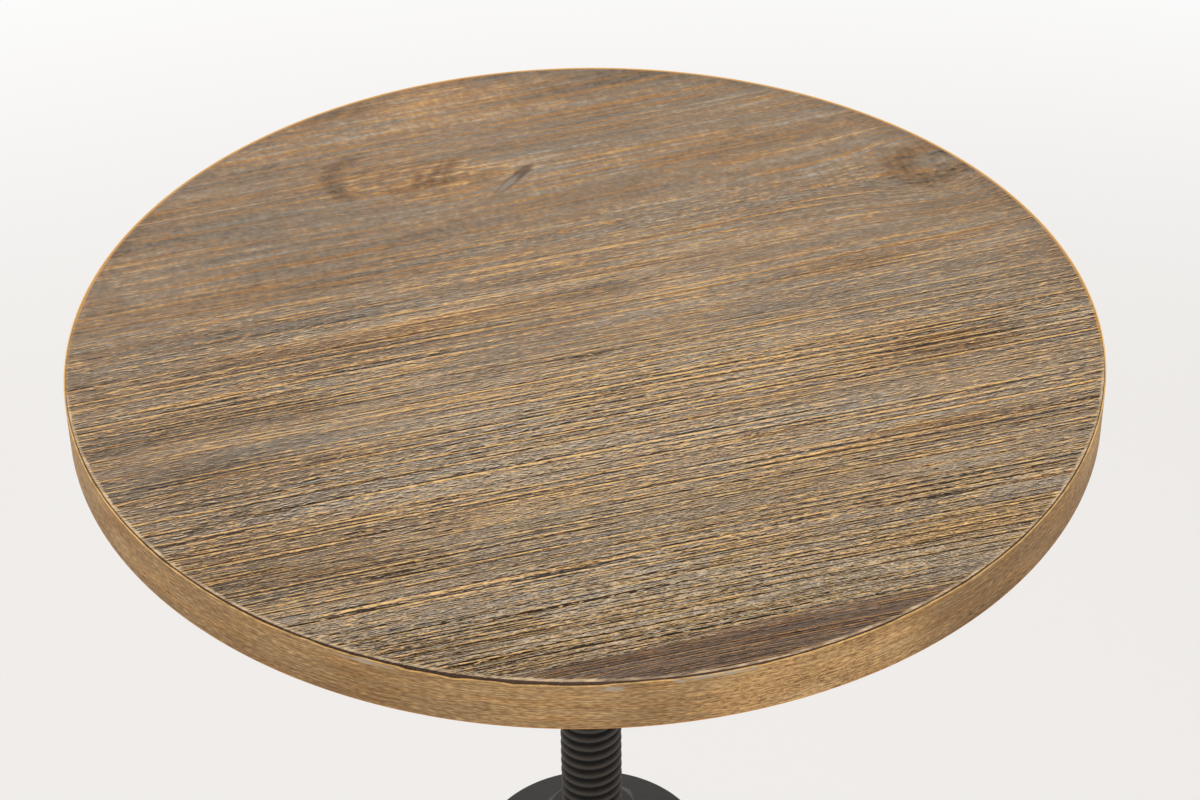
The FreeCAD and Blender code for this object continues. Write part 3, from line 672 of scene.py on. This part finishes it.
PALE_STAINS = (
    ((100, -64), 26, 5, 0.09, 0.0),
    ((110, 27), 26, 4, 0.08, 0.0),
    # Painted light: a broad lighter patch in the front middle of the seat, where more light falls on it.
    ((15, -38), 60, 30, 0.05, 0.0),
    ((36, -119), 104, 16, 0.25, 0.05),
    ((12, -113), 44, 6, 0.15, 0.0),
    ((8, -136), 26, 4, 0.16, 0.0),
    ((44, 48), 54, 5, 0.15, 0.1),
    ((24, 10), 30, 9, 0.07, 0.0),
    ((112, -72), 14, 6, 0.12, 0.0),
    ((-24, 94), 22, 4, 0.08, 0.0),
)
RUSTY_STREAKS = (
    ((94, -77), 30, 10, 0.0, 0.15),
    ((8, 50), 84, 4, 0.02, 0.25),
    ((40, 108), 30, 4, 0.0, 0.25),
    ((-40, 121), 44, 5, 0.08, 0.2),
    ((-48, 132), 50, 9, 0.04, 0.42),
    ((-52, 139), 18, 5, 0.08, 0.25),
    ((-16, -81), 36, 5, 0.05, 0.25),
    ((85, -54), 44, 4, 0.02, 0.25),
    ((102, -92), 34, 5, -0.08, 0.4),
    ((-44, 6), 74, 5, -0.02, 0.35),
)
GREY_STREAKS = (
    ((-80, -50), 34, 8, 0.0, -0.2),
    ((45, 8), 26, 5, 0.0, -0.25),
    ((72, -38), 26, 6, 0.0, -0.2),
)
STAINS = SHADED_STAINS + PALE_STAINS + RUSTY_STREAKS + GREY_STREAKS
STAIN_LEAN = math.radians(16)


def reach_of(place, middle, half_length, half_width):
    """A distance that is 0 in the middle of an oval mark and 1 on its edge. It lies along the first axis."""
    shift = (-middle[0] / half_length, -middle[1] / half_width, 0)
    local = place.stretched((1 / half_length, 1 / half_width, 0), shift)
    return place.node("ShaderNodeVectorMath", {"operation": "LENGTH"}, {0: local}, output="Value")


def stains(place, ragged):
    """How much lighter and warmer the stains and one patch of painted light make the wood, each drawn out
    along the grain.
    """
    turn = {"Vector": place, "Angle": -STAIN_LEAN}
    turned = place.node("ShaderNodeVectorRotate", {"rotation_type": "Z_AXIS"}, turn)
    pushes = (0, 0, 0)
    for (x, y), half_length, half_width, lighter, warmer in STAINS:
        along = x * math.cos(STAIN_LEAN) + y * math.sin(STAIN_LEAN)
        across = y * math.cos(STAIN_LEAN) - x * math.sin(STAIN_LEAN)
        distance = reach_of(turned, (along, across), half_length, half_width)
        pushes = (distance + ragged).ease(1.2, 0.3).stretched((lighter, warmer, 0), pushes)
    return pushes.parts()[:2]


print(len(STAINS), "stains")

# %% [markdown]
# ## Knots and a split
# Two branches left knots in the board. The long one was cut at a slant and has a split at its right end,
# partly filled with grey. The round one is brown round a grey middle. They could be modelled, but sanding
# left them flush, so each is made of ovals with ragged edges that only change the colour.

# %% Knots and the split
# Noises: how long their marks are along and across the grain in millimetres, a seed, and a detail if not 2.
KNOT_DASHES = (6.0, 1.1, 31.0, 1.0)
# A noise that pushes up or down has the amount of its push first.
KNOT_SWIRL = (0.42, 7.0, 3.5, 34.0)
# Each stroke across the long knot: its middle and half its length.
KNOT_STROKES = (((-53.0, 84.5), 5.5), ((-47.8, 86.5), 6.5), ((-43.0, 89.5), 8.0))
STROKE_HALF_WIDTH = 1.8
STROKE_LEAN = 74
# The long knot's dark left end lies inside one oval and outside another: middle, half sizes and lean of each.
CRESCENT_OUTSIDE = ((-66, 86), 17.5, 15.0, 0)
CRESCENT_INSIDE = ((-59, 86), 17.0, 15.0, 0)
CRESCENT_REACH = (-67, -77)
ROUND_KNOT_MIDDLE = (113, 92)
ROUND_KNOT_LEAN = 20
SPLIT_LEAN = 58
SPLIT_GREY = tint(142, 130, 118)
SPLIT_DARK = tint(92, 72, 54)
# Each part of the split: its middle, half its length and width, its edge's fade, its strength and colour.
SPLIT_PARTS = (
    ((-22.9, 83.0), 10.5, 1.8, (1.3, 0.7), 0.6, SPLIT_DARK),
    ((-19.6, 88.4), 4.8, 2.1, (1.2, 0.7), 0.8, SPLIT_DARK),
    ((-24.0, 81.5), 7.5, 1.3, (1.05, 0.45), 0.8, SPLIT_GREY),
)


def spread(noise, amount):
    """A noise turned into a push up or down by about this amount."""
    return (noise - 0.5) * amount


def uneven(place, *noises):
    """Noises that push up or down, added together."""
    return sum(spread(place.noise(*marks), amount) for amount, *marks in noises)


def oval(place, middle, half_length, half_width, lean):
    """A distance that is 0 in the middle of an oval mark and 1 on its edge. It lies at this lean."""
    turn = {"Vector": place, "Center": (*middle, 0), "Angle": -math.radians(lean)}
    turned = place.node("ShaderNodeVectorRotate", {"rotation_type": "Z_AXIS"}, turn)
    return reach_of(turned, middle, half_length, half_width)


def oval_knot(grain, place, ragged):
    """How much lighter and warmer the long knot is: a dark end, slanted strokes and orange dashes."""
    body = (oval(place, OVAL_KNOT, half_length=35, half_width=12, lean=8) + ragged).ease(1.1, 0.6)
    dashes = grain.noise(*KNOT_DASHES).ease(0.5, 0.62) * body
    strokes = 0.0
    for middle, half_length in KNOT_STROKES:
        stroke = oval(place, middle, half_length, STROKE_HALF_WIDTH, STROKE_LEAN) + ragged * 0.8
        strokes = stroke.ease(1.4, 0.3) + strokes
    outside = oval(place, *CRESCENT_OUTSIDE) + ragged * 0.12
    inside = oval(place, *CRESCENT_INSIDE) + ragged * 0.12
    left_end = place.parts()[0].ease(*CRESCENT_REACH)
    crescent = outside.ease(1.15, 0.85) * inside.ease(0.85, 1.3) * left_end
    lighter = dashes * 0.16 - body * 0.05 - strokes * 0.16 - crescent * 0.21
    warmer = body * 0.22 + dashes * 0.6 + strokes * 0.2 + crescent * 0.05
    return lighter, warmer


def round_knot(place, ragged):
    """How much lighter and warmer the round knot is, brown round a grey middle, and where it lies."""
    ring = oval(place, ROUND_KNOT, half_length=15, half_width=12, lean=ROUND_KNOT_LEAN) + ragged * 1.1
    ring = ring.ease(1.25, 0.6)
    middle = oval(place, ROUND_KNOT_MIDDLE, half_length=9, half_width=7, lean=ROUND_KNOT_LEAN) + ragged * 1.6
    middle = middle.ease(1.1, 0.5)
    swirl = uneven(place, KNOT_SWIRL) * ring
    return middle * 0.09 - ring * 0.2 + swirl, ring * 0.34 - middle * 0.44 + swirl, ring


def split(colour, place, ragged):
    """The seat's colour with the split at the right end of the long knot, which grey filler partly fills."""
    for middle, half_length, half_width, fade, shows, shade in SPLIT_PARTS:
        part = oval(place, middle, half_length, half_width, SPLIT_LEAN) + ragged * 0.4
        colour = (part.ease(*fade) * shows).blend(colour, shade)
    return colour


print("two knots, with", len(KNOT_STROKES), "strokes across the long one")

# %% [markdown]
# ## Lines, pores and tone
# The brush took the wash off the hard lines and opened the pores beside them. A wave texture would draw
# lines that are too even. A noise stretched far along the grain and cut at a level gives lines that start,
# break and end. The pores are the same noise moved a little across the grain, so that they lie beside their
# lines.

# %% Lines and pores of the seat
LONG_LINES = (150.0, 1.0, 6.0, 1.0)
LINE_WANDER = (0.45, 22.0, 2.2, 19.0, 1.0)
SHORT_LINES = (7.0, 0.85, 8.0, 1.0)
SHORT_DASHES = (3.6, 0.55, 1.0, 1.0)
FURROW_SHIFT = 0.8
# How far the painted shadow beside each fleck is moved across the grain.
FLECK_SHADOW_SHIFT = 0.45
WASH_SHIFT = 57.3


def moved_across(grain, shift):
    """The grain moved across itself by a shift in millimetres."""
    return grain.stretched((1, 1, 1), (0, shift, 0))


def drawn_lines(grain):
    """Where long thin lines along the grain lie, from 0 to 1."""
    return grain.noise(*LONG_LINES) + uneven(grain, LINE_WANDER)


def gold_lines(grain, brushing, ring, strength, breaks):
    """Where the wash is off the hard growth lines, from 0 to 1."""
    ring_line = ring.ease(0.7, 0.8) * ring.ease(1.0, 0.92) * strength
    broken = spread(breaks, 0.7) * (0.35 + brushing * 0.3)
    lines = drawn_lines(grain) + ring_line * (0.1 + brushing * 0.12) + broken
    return lines.ease(0.58, 0.67).most(grain.noise(*SHORT_LINES).ease(0.6, 0.69) * 0.8)


def open_pores(grain, brushing, ring, strength, breaks):
    """Where the pores beside the growth lines lie open and dark, from 0 to 1."""
    ring_pore = ring.ease(0.0, 0.05) * ring.ease(0.24, 0.14) * strength
    lines = drawn_lines(moved_across(grain, FURROW_SHIFT)) + spread(breaks, 0.36)
    return (lines + brushing * 0.1 + ring_pore * 0.12).ease(0.67, 0.75)


print("lines", LONG_LINES[0], "mm long and", LONG_LINES[1], "mm apart")

# %% Tone and rim of the seat
SLOW_TONE = ((0.3, 110.0, 7.0, 4.0), (0.26, 150.0, 18.0, 5.0))
DUST = ((0.3, 1.8, 1.5, 17.0, 1.0), (0.25, 3.4, 3.0, 18.0, 1.0))
MOTTLE = ((1.0, 11.0, 1.8, 14.0, 3.0), (0.6, 22.0, 4.5, 15.0, 3.0))
SLOW_WARMTH = ((0.9, 60.0, 2.6, 9.0, 1.0), (0.6, 130.0, 12.0, 10.0))
RIM_FLAKES = (7.0, 7.0, 33.0, 3.0)
RIM_PALE = tint(236, 204, 164)
RIM_GOLD = tint(214, 158, 92)
# The rim's side down into the joint: dirt, and painted shade where the gap lies in shadow.
RIM_JOINT_DIRT_AND_SHADE = tint(84, 62, 50)


def slow_tone(grain, brushing):
    """How the wood grows lighter and darker over its bands, with a mottle that the brush thins, and dust."""
    mottle = uneven(grain, *MOTTLE) * (0.28 - brushing * 0.11)
    return uneven(grain, *SLOW_TONE, *DUST) + mottle


def rim_wear(colour, place, ragged, down, gap, inset):
    """The seat's colour with its worn rim: pale flakes at the front, a bare edge behind, a dark joint of dirt
    and painted shade.
    """
    flakes = place.noise(*RIM_FLAKES).ease(0.4, 0.6)
    worn = (inset + ragged * 1.2).ease(0.8, 0.2) * gap.ease(0.12, 0.3) * (0.4 + flakes * 0.6)
    colour = (worn * 0.85).blend(colour, RIM_PALE)
    bare_rim = inset.ease(0.6, 0.3) * gap.ease(0.2, 0.05)
    colour = (bare_rim * 0.7).blend(colour, RIM_GOLD)
    # Dirt and painted shade on the rim's side as it goes down into the joint.
    return down.ease(0.3, 0.55).blend(colour, RIM_JOINT_DIRT_AND_SHADE)


print("tone in bands of", SLOW_TONE[0][2], "and", SLOW_TONE[1][2], "mm")

# %% [markdown]
# ## All of the seat's finish together
# Everything so far ends in two numbers at each place: how light the wood is, and how warm. One ramp of
# colours is the washed wood, one is the bare wood, and the warmth blends them. The brushed tooth also feeds
# the bump, so that light catches it.

# %% Paint the seat
WASHED = ((0.0, tint(42, 36, 30)), (0.5, tint(140, 125, 107)), (1.0, tint(212, 200, 182)))
BARE = ((0.0, tint(66, 42, 22)), (0.5, tint(162, 120, 74)), (1.0, tint(249, 200, 128)))
HEART = tint(193, 183, 184)
RAGGED_EDGES = (1.2, 9.0, 1.6, 12.0)
LINE_BREAKS = (2.6, 0.7, 7.0, 1.0)
GRIT = (0.8, 0.9, 0.5, 3.0, 0.0)
KNOT_QUIET = 0.5
FURROW_DIRT = 0.75
SPECK_STRENGTH = 0.94
TOOTH_DEPTH = 0.3
# How light and how warm the wood is in the middle, and what each mark adds to that or takes off it.
MIDDLE_LIGHT = 0.43
GOLD_LIGHT = 0.7
GOLD_SHADE = 0.11
PORE_SHADE = 0.8
BITE_LIGHT = 0.065
HEART_SHADE = 0.05
RIM_SHADE = 0.08
WASH_LIGHT = 0.09
MIDDLE_WARM = 0.25
GOLD_WARM = 0.72
FLECK_WARM = 0.15
WASH_GREY = 0.3


def carried(start, name, output="Vector"):
    """What the piece's points carry under this name."""
    return start.node("ShaderNodeAttribute", {"attribute_name": name}, output=output)


def in_millimetres(start):
    """Each point's place in the frame of the stool, in millimetres."""
    return start.node("ShaderNodeTexCoord", output="Object").stretched((1 / MM, 1 / MM, 1 / MM))


def seat_material():
    """Brushed and washed softwood, from the grain that the board's points carry."""
    material, start = new_material("seat_wood")
    place = in_millimetres(start)
    grain = carried(start, "grain")
    brushing = grain.parts()[2]
    count, strength, furrow = carried(start, "rings").parts()
    down, gap, inset = carried(start, "rim").parts()
    heart = carried(start, "heart", "Fac")
    ragged = uneven(grain, RAGGED_EDGES)

    # The stains, with one broad patch of painted light among them.
    stain_and_painted_light, stain_warm = stains(place, ragged)
    oval_light, oval_warm = oval_knot(grain, place, ragged)
    round_light, round_warm, round_reach = round_knot(place, ragged)
    quiet = 1 - round_reach * KNOT_QUIET
    bite = brushing ** 2.0
    ring = count.fract()
    breaks = grain.noise(*LINE_BREAKS)
    gold = gold_lines(grain, brushing, ring, strength, breaks) * quiet
    pores = open_pores(grain, brushing, ring, strength, breaks) * bite * quiet
    pores = pores.most(furrow.ease(0.1, 0.5) * breaks.ease(0.36, 0.5) * FURROW_DIRT)
    flecks = grain.noise(*SHORT_DASHES).ease(0.53, 0.65)
    # Painted shadow: the flecks moved a little across the grain and taken off the lightness, so each bright
    # fleck has a dark shadow beside it.
    fleck_shadows = moved_across(grain, FLECK_SHADOW_SHIFT).noise(*SHORT_DASHES).ease(0.55, 0.67)
    specks_and_shadows = (flecks - fleck_shadows) * SPECK_STRENGTH + uneven(grain, GRIT)
    wash = drawn_lines(moved_across(grain, WASH_SHIFT)).ease(0.56, 0.68) * (1.1 - brushing * 0.7)

    tooth = specks_and_shadows * bite + gold * (brushing * GOLD_LIGHT - GOLD_SHADE) - pores * PORE_SHADE
    # Painted shade: the top is darker within 8 mm of the rim where the joint is closed, at the back.
    rim_painted_shade = inset.ease(8.0, 1.0) * gap.ease(0.2, 0.0)
    light = MIDDLE_LIGHT + tooth + slow_tone(grain, brushing) + stain_and_painted_light + oval_light + round_light
    light = light + bite * BITE_LIGHT - heart * HEART_SHADE - rim_painted_shade * RIM_SHADE + wash * WASH_LIGHT
    warm = MIDDLE_WARM + uneven(grain, *SLOW_WARMTH) + stain_warm + oval_warm + round_warm
    warm = warm + gold * GOLD_WARM + flecks * FLECK_WARM - wash * WASH_GREY
    colour = warm.blend(light.ramp(*WASHED), light.ramp(*BARE))
    colour = heart.blend(colour, HEART, "MULTIPLY")
    colour = rim_wear(split(colour, place, ragged), place, ragged, down, gap, inset)

    surface = {"Base Color": colour, "Roughness": 0.66 - light * 0.12, "Specular IOR Level": 0.22}
    finish_material(start, surface, bump=tooth, depth=TOOTH_DEPTH * MM)
    return material


def add_seat():
    """The brushed board in the place of the plain one."""
    points, faces, edge = board_mesh()
    placed = points * MM + np.array(SEAT_CENTRE)
    piece = add_piece("seat_top_board", placed, faces, "seat", "seat_board", seat_material())
    grain, rings = relief_at(points[:, 0], points[:, 1])[1:]
    add_values(piece, "grain", grain)
    add_values(piece, "rings", rings)
    add_values(piece, "heart", heartwood_at(*grain_at(points[:, 0], points[:, 1])))
    add_values(piece, "rim", rim_values(points, edge))


add_seat()

# %% [markdown]
# ## The edge band
# A strip of veneer is glued round the board to hide its sawn edge. It is bent from one flat strip, so its
# two ends meet in a fine joint at the back. The strip is drawn as a profile carried round the circle, left
# open at the joint. Its top edge was trimmed by hand: flush at the back, and a little low where the joint
# has opened at the front.

# %% Bend the edge band
BAND_ROUND = 0.16
BAND_CORNER_POINTS = 4
BAND_STEPS = 720
BAND_JOINT = math.radians(96.0)
BAND_JOINT_GAP = 0.12
BAND_HIGHEST = -0.04
BAND_TRIM = 1.25
BAND_HEIGHT = (band_high.z - band_low.z) / MM


def band_profile(top):
    """Points round the strip's section, outwards and down from its top inner edge, in millimetres."""
    outside = BAND_RADIUS / MM
    inside = outside - VENEER
    straight = BAND_HEIGHT + top - 2 * BAND_ROUND
    turns = np.linspace(0, math.pi / 2, BAND_CORNER_POINTS)
    radii = outside - BAND_ROUND * (1 - np.sin(turns))
    corner = list(zip(radii, BAND_ROUND * (1 - np.cos(turns))))
    section = [(inside, top)]
    section += [(radius, top - drop) for radius, drop in corner]
    section += [(outside, top - BAND_ROUND - share * straight) for share in (0.25, 0.5, 0.75)]
    section += [(radius, drop - BAND_HEIGHT) for radius, drop in reversed(corner)]
    section.append((inside, -BAND_HEIGHT))
    return section


def band_mesh():
    """The strip's points and faces and, at each point, how far round, how high and how far below its top."""
    gap = BAND_JOINT_GAP * MM / BAND_RADIUS
    angles = BAND_JOINT + np.linspace(gap / 2, 2 * math.pi - gap / 2, BAND_STEPS + 1)
    tops = BAND_HIGHEST - BAND_TRIM * rim_gap((angles + math.pi) % (2 * math.pi) - math.pi)
    points = []
    laid_flat = []
    for angle, top in zip(angles, tops):
        for radius, height in band_profile(top):
            points.append((radius * math.cos(angle), radius * math.sin(angle), height))
            laid_flat.append((angle * BAND_RADIUS / MM, height, top - height))
    index = numbered(len(angles), len(points) // len(angles))
    faces = [*join_rows(index), tuple(index[0, ::-1]), tuple(index[-1])]
    return np.array(points), faces, np.array(laid_flat)


print("band", VENEER, "mm thick and", round(BAND_HEIGHT, 1), "mm high")

# %% [markdown]
# ## The finish of the band
# The veneer is warmer than the seat, because its wash was rubbed off more. Its grain runs round the seat in
# short fine dashes. Sanding left the top arris bare, scuffed the front on the right, and left grey filler in
# three places under the top edge. Both arrises carry a painted highlight, gold along the top and orange
# along the bottom.

# %% Paint the edge band
BAND_COLOURS = ((0.0, tint(90, 65, 41)), (0.5, tint(161, 128, 88)), (1.0, tint(236, 194, 138)))
BAND_ORANGE = ((0.0, tint(92, 58, 30)), (0.5, tint(168, 124, 76)), (1.0, tint(240, 186, 116)))
# The top edge: bare trimmed wood, with a painted highlight.
BAND_TOP_BARE_AND_HIGHLIGHT = tint(250, 200, 124)
# Painted highlight: an orange line along the lower edge.
BAND_LOW_HIGHLIGHT = tint(222, 150, 76)
FILLER = tint(186, 174, 156)
SCUFF = tint(224, 178, 124)
# Each patch: how far round it is in degrees, half its length, how high it lies, and half its own height.
SCUFFED_PATCH = (-67, 44, -9, 16)
RUBBED_PATCH = (-99, 44, -8, 30)
SHADED_PATCH = (-38, 48, -8, 30)
FILLER_PATCHES = ((-77.5, 13, -1.0, 0.9), (-112, 6.5, -1.6, 0.9), (-87.5, 4, -2.2, 0.9))
BAND_FINE = ((1.0, 2.4, 0.4, 1.0, 1.0), (0.6, 14.0, 0.6, 2.0, 1.0))
BAND_SLOW = ((0.45, 34.0, 7.0, 3.0), (0.3, 90.0, 30.0, 4.0))
BAND_RAGGED = (1.4, 5.0, 1.5, 5.0)
BAND_SPECKLES = (0.9, 0.6, 6.0, 1.0)
BAND_WARMTH = (24.0, 3.0, 7.0)
BAND_CHIPS = (3.0, 3.0, 9.0)
DASH_DEPTH = 0.08
BAND_LIGHT = 0.5
SCUFF_LIGHT = 0.13
RUBBED_LIGHT = 0.07
PATCH_SHADE = 0.12
LOW_SHADE = 0.07
ORANGE_SHARE = 0.55
SCUFF_SHARE = 0.8
FILLER_SHARE = 0.75
LOW_HIGHLIGHT_SHARE = 0.75


def patch_on_band(flat, degrees, half_length, height, half_height):
    """A distance that is 0 in the middle of an oval mark on the band and 1 on its edge."""
    along = math.radians(degrees % 360) * BAND_RADIUS / MM
    return reach_of(flat, (along, height), half_length, half_height)


def band_arrises(colour, flat, height, below_top):
    """The band's colour with a painted highlight along both edges. The top edge is also bare, chipped where
    it was trimmed low.
    """
    lowered = (height + below_top).ease(-0.15, -0.7)
    chipped = 0.25 + flat.noise(*BAND_CHIPS).ease(0.4, 0.6) * 0.4
    # Painted highlight along the top edge, over its bare trimmed wood.
    top_edge_bare_and_highlight = below_top.ease(0.3, 0.1) * (0.9 - lowered * chipped)
    colour = top_edge_bare_and_highlight.blend(colour, BAND_TOP_BARE_AND_HIGHLIGHT)
    # Painted highlight: an orange line along the band's lower edge.
    low_edge_highlight = height.ease(0.5 - BAND_HEIGHT, 0.1 - BAND_HEIGHT) * LOW_HIGHLIGHT_SHARE
    return low_edge_highlight.blend(colour, BAND_LOW_HIGHLIGHT)


def band_material():
    """Rubbed veneer, from how far round and how high each point of the strip is."""
    material, start = new_material("band_wood")
    flat = carried(start, "flat")
    _, height, below_top = flat.parts()
    fine = uneven(flat, *BAND_FINE)
    slow = uneven(flat, *BAND_SLOW)
    ragged = uneven(flat, BAND_RAGGED)
    scuffed = patch_on_band(flat, *SCUFFED_PATCH).ease(1.1, 0.3)
    rubbed = patch_on_band(flat, *RUBBED_PATCH).ease(1.1, 0.3)
    shaded = patch_on_band(flat, *SHADED_PATCH).ease(1.1, 0.4)
    low_down = height.ease(-9.0, -15.5) * (1 - scuffed)
    light = BAND_LIGHT + fine * (1 + scuffed * 0.5) + slow + scuffed * SCUFF_LIGHT
    light = light + rubbed * RUBBED_LIGHT - shaded * PATCH_SHADE - low_down * LOW_SHADE
    orange = (flat.noise(*BAND_WARMTH) + scuffed * 0.12).ease(0.42, 0.66)
    colour = (orange * ORANGE_SHARE).blend(light.ramp(*BAND_COLOURS), light.ramp(*BAND_ORANGE))
    speckles = flat.noise(*BAND_SPECKLES).ease(0.56, 0.66)
    colour = (speckles * scuffed * SCUFF_SHARE).blend(colour, SCUFF)
    for patch in FILLER_PATCHES:
        filler = patch_on_band(flat, *patch) + ragged * 1.6
        colour = (filler.ease(1.0, 0.5) * FILLER_SHARE).blend(colour, FILLER)
    colour = band_arrises(colour, flat, height, below_top)
    surface = {"Base Color": colour, "Roughness": 0.7 - light * 0.15, "Specular IOR Level": 0.15}
    finish_material(start, surface, bump=fine, depth=DASH_DEPTH * MM)
    return material


def add_band():
    """The bent strip in the place of the plain ring."""
    points, faces, laid_flat = band_mesh()
    placed = points * MM + np.array((0, 0, band_high.z))
    finish = band_material()
    piece = add_piece("edge_band_strip", placed, faces, "seat", "seat_edge_band", finish)
    add_values(piece, "flat", laid_flat)


add_band()

# %% [markdown]
# ## Black steel
# The spindle, hub and legs are steel under a black satin coat. The coat is a powder that was baked on: it
# rounds every corner slightly, has a faint orange-peel surface, and is a warm near-black. Fine noise in the
# bump gives the peel, and slower noise moves the gloss a little, as dust and handling do.

# %% Paint the steel
# A finish: its two shades, its roughness and what clouds add to it, and its grain's depth in millimetres.
# Its clouds and its grain are given as marks in a millimetre and a detail.
BLACK_COAT = {
    "shades": ((0.0125, 0.0104, 0.0086, 1), (0.024, 0.0198, 0.0162, 1)),
    "roughness": (0.36, 0.22),
    "clouds": (0.05, 3.0),
    "grain": (0.9, 2.0),
    "depth": 0.06,
    "others": {"Specular IOR Level": 0.42},
}


def even_noise(place, density, detail):
    """Noise from 0 to 1 that is alike in every direction, with about this many marks in a millimetre."""
    return place.node("ShaderNodeTexNoise", {}, {"Vector": place, "Scale": density, "Detail": detail})


def even_finish(name, shades, roughness, clouds, grain, depth, others):
    """A finish whose tone and gloss wander in slow clouds, with a fine even grain."""
    material, start = new_material(name)
    place = in_millimetres(start)
    cloud = even_noise(place, *clouds)
    colour = cloud.ease(0.3, 0.7).blend(*shades)
    surface = {"Base Color": colour, "Roughness": roughness[0] + cloud * roughness[1], **others}
    finish_material(start, surface, bump=even_noise(place, *grain), depth=depth * MM)
    return material


def dress(slot, finish):
    """Gives a finish to the construction nodes of one slot."""
    material = even_finish(slot, **finish)
    names = [part["node"] for part in frame["record"]["subparts"] if part["material_slot"] == slot]
    for name in names:
        frame["nodes"][name].data.materials.clear()
        frame["nodes"][name].data.materials.append(material)
    print(slot, "on", len(names), "nodes")


dress("black_steel", BLACK_COAT)

# %% [markdown]
# ## The spindle's thread
# The spindle is a long screw with a rounded thread of one pitch per turn, which the nut in the hub follows.
# The construction has a plain-edged thread. Here its crests and roots are rounded, as rolling and the black
# coat leave them. Each point's radius comes from how far it is along the helix, so the thread stays in step
# with the nut. The nut has rubbed the crests brown, and the roots are black with old grease and with
# painted shade deep in the groove, so each point also carries its depth.

# %% Roll the thread
THREAD_PITCH = 4.0
THREAD_DEPTH = 1.9
THREAD_FLANK = (0.05, 0.95)
THREAD_STEPS = 12
SPINDLE_SIDES = 60
SPINDLE_RADIUS = (spindle_high.x - spindle_low.x) / 2 / MM
SPINDLE_LENGTH = (spindle_high.z - spindle_low.z) / MM
CREST = (0.043, 0.0345, 0.0265, 1.0)
# Root colour: old grease, and painted shade deep in the groove.
ROOT_GREASE_AND_SHADE = (0.0035, 0.003, 0.0026, 1.0)
THREAD_GRIT_DEPTH = 0.05


def spindle_mesh():
    """Rings up the spindle, whose radius dips once in each pitch, its two ends, and each point's depth."""
    rows = round(SPINDLE_LENGTH / THREAD_PITCH * THREAD_STEPS)
    heights, angles = np.meshgrid(
        np.linspace(0, SPINDLE_LENGTH, rows + 1),
        np.linspace(0, 2 * math.pi, SPINDLE_SIDES, endpoint=False),
        indexing="ij",
    )
    groove = np.cos(math.pi * (heights / THREAD_PITCH - angles / (2 * math.pi))) ** 2
    depth = smooth_rise(groove, *THREAD_FLANK)
    radius = SPINDLE_RADIUS - THREAD_DEPTH * depth
    points = np.stack([radius * np.cos(angles), radius * np.sin(angles), heights], axis=-1).reshape(-1, 3)
    index = numbered(rows + 1, SPINDLE_SIDES)
    faces = [*join_rows(index), tuple(index[0, ::-1]), tuple(index[-1])]
    return points, faces, depth.ravel()


def thread_steel():
    """Black steel, rubbed brown on the crests of its thread and black in the roots, with grease and painted
    shade.
    """
    material, start = new_material("thread_steel")
    depth = carried(start, "thread_depth", "Fac")
    place = in_millimetres(start)
    cloud = even_noise(place, density=0.25, detail=3.0)
    grit = even_noise(place, density=1.6, detail=2.0)
    # Black in the roots for grease and painted shade, brown on the rubbed crests.
    colour = (depth + spread(cloud, 0.5)).ease(0.75, 0.1).blend(ROOT_GREASE_AND_SHADE, CREST)
    surface = {"Base Color": colour, "Roughness": 0.5 + depth * 0.3, "Specular IOR Level": 0.3}
    finish_material(start, surface, bump=grit, depth=THREAD_GRIT_DEPTH * MM)
    return material


def add_spindle():
    """The rounded thread in the place of the plain one."""
    points, faces, depth = spindle_mesh()
    placed = points * MM + np.array((0, 0, spindle_low.z))
    piece = add_piece("spindle_thread", placed, faces, "seat", "spindle", thread_steel())
    add_values(piece, "thread_depth", depth)


add_spindle()

# %% [markdown]
# ## Bolts, screws and glides
# The bolts and cap nuts of the legs are blackened steel, a little more metallic than the coat. The screws
# under the seat, the stop bolt and its washer are zinc plated. The glides under the legs are moulded
# plastic with a fine matt grain.

# %% Paint the small parts
METAL = {"clouds": (0.35, 4.0), "grain": (3.0, 2.0), "depth": 0.02}
BLACKENED = {
    **METAL,
    "shades": ((0.035, 0.034, 0.033, 1), (0.07, 0.067, 0.064, 1)),
    "roughness": (0.25, 0.3),
    "others": {"Metallic": 0.85},
}
ZINC = {
    **METAL,
    "shades": ((0.26, 0.26, 0.25, 1), (0.4, 0.4, 0.385, 1)),
    "roughness": (0.23, 0.3),
    "others": {"Metallic": 1.0},
}
PLASTIC = {
    "shades": ((0.012, 0.012, 0.0125, 1), (0.024, 0.024, 0.0245, 1)),
    "roughness": (0.5, 0.2),
    "clouds": (0.12, 2.0),
    "grain": (2.2, 3.0),
    "depth": 0.05,
    "others": {},
}

dress("dark_fastener", BLACKENED)
dress("zinc_fastener", ZINC)
dress("black_plastic", PLASTIC)
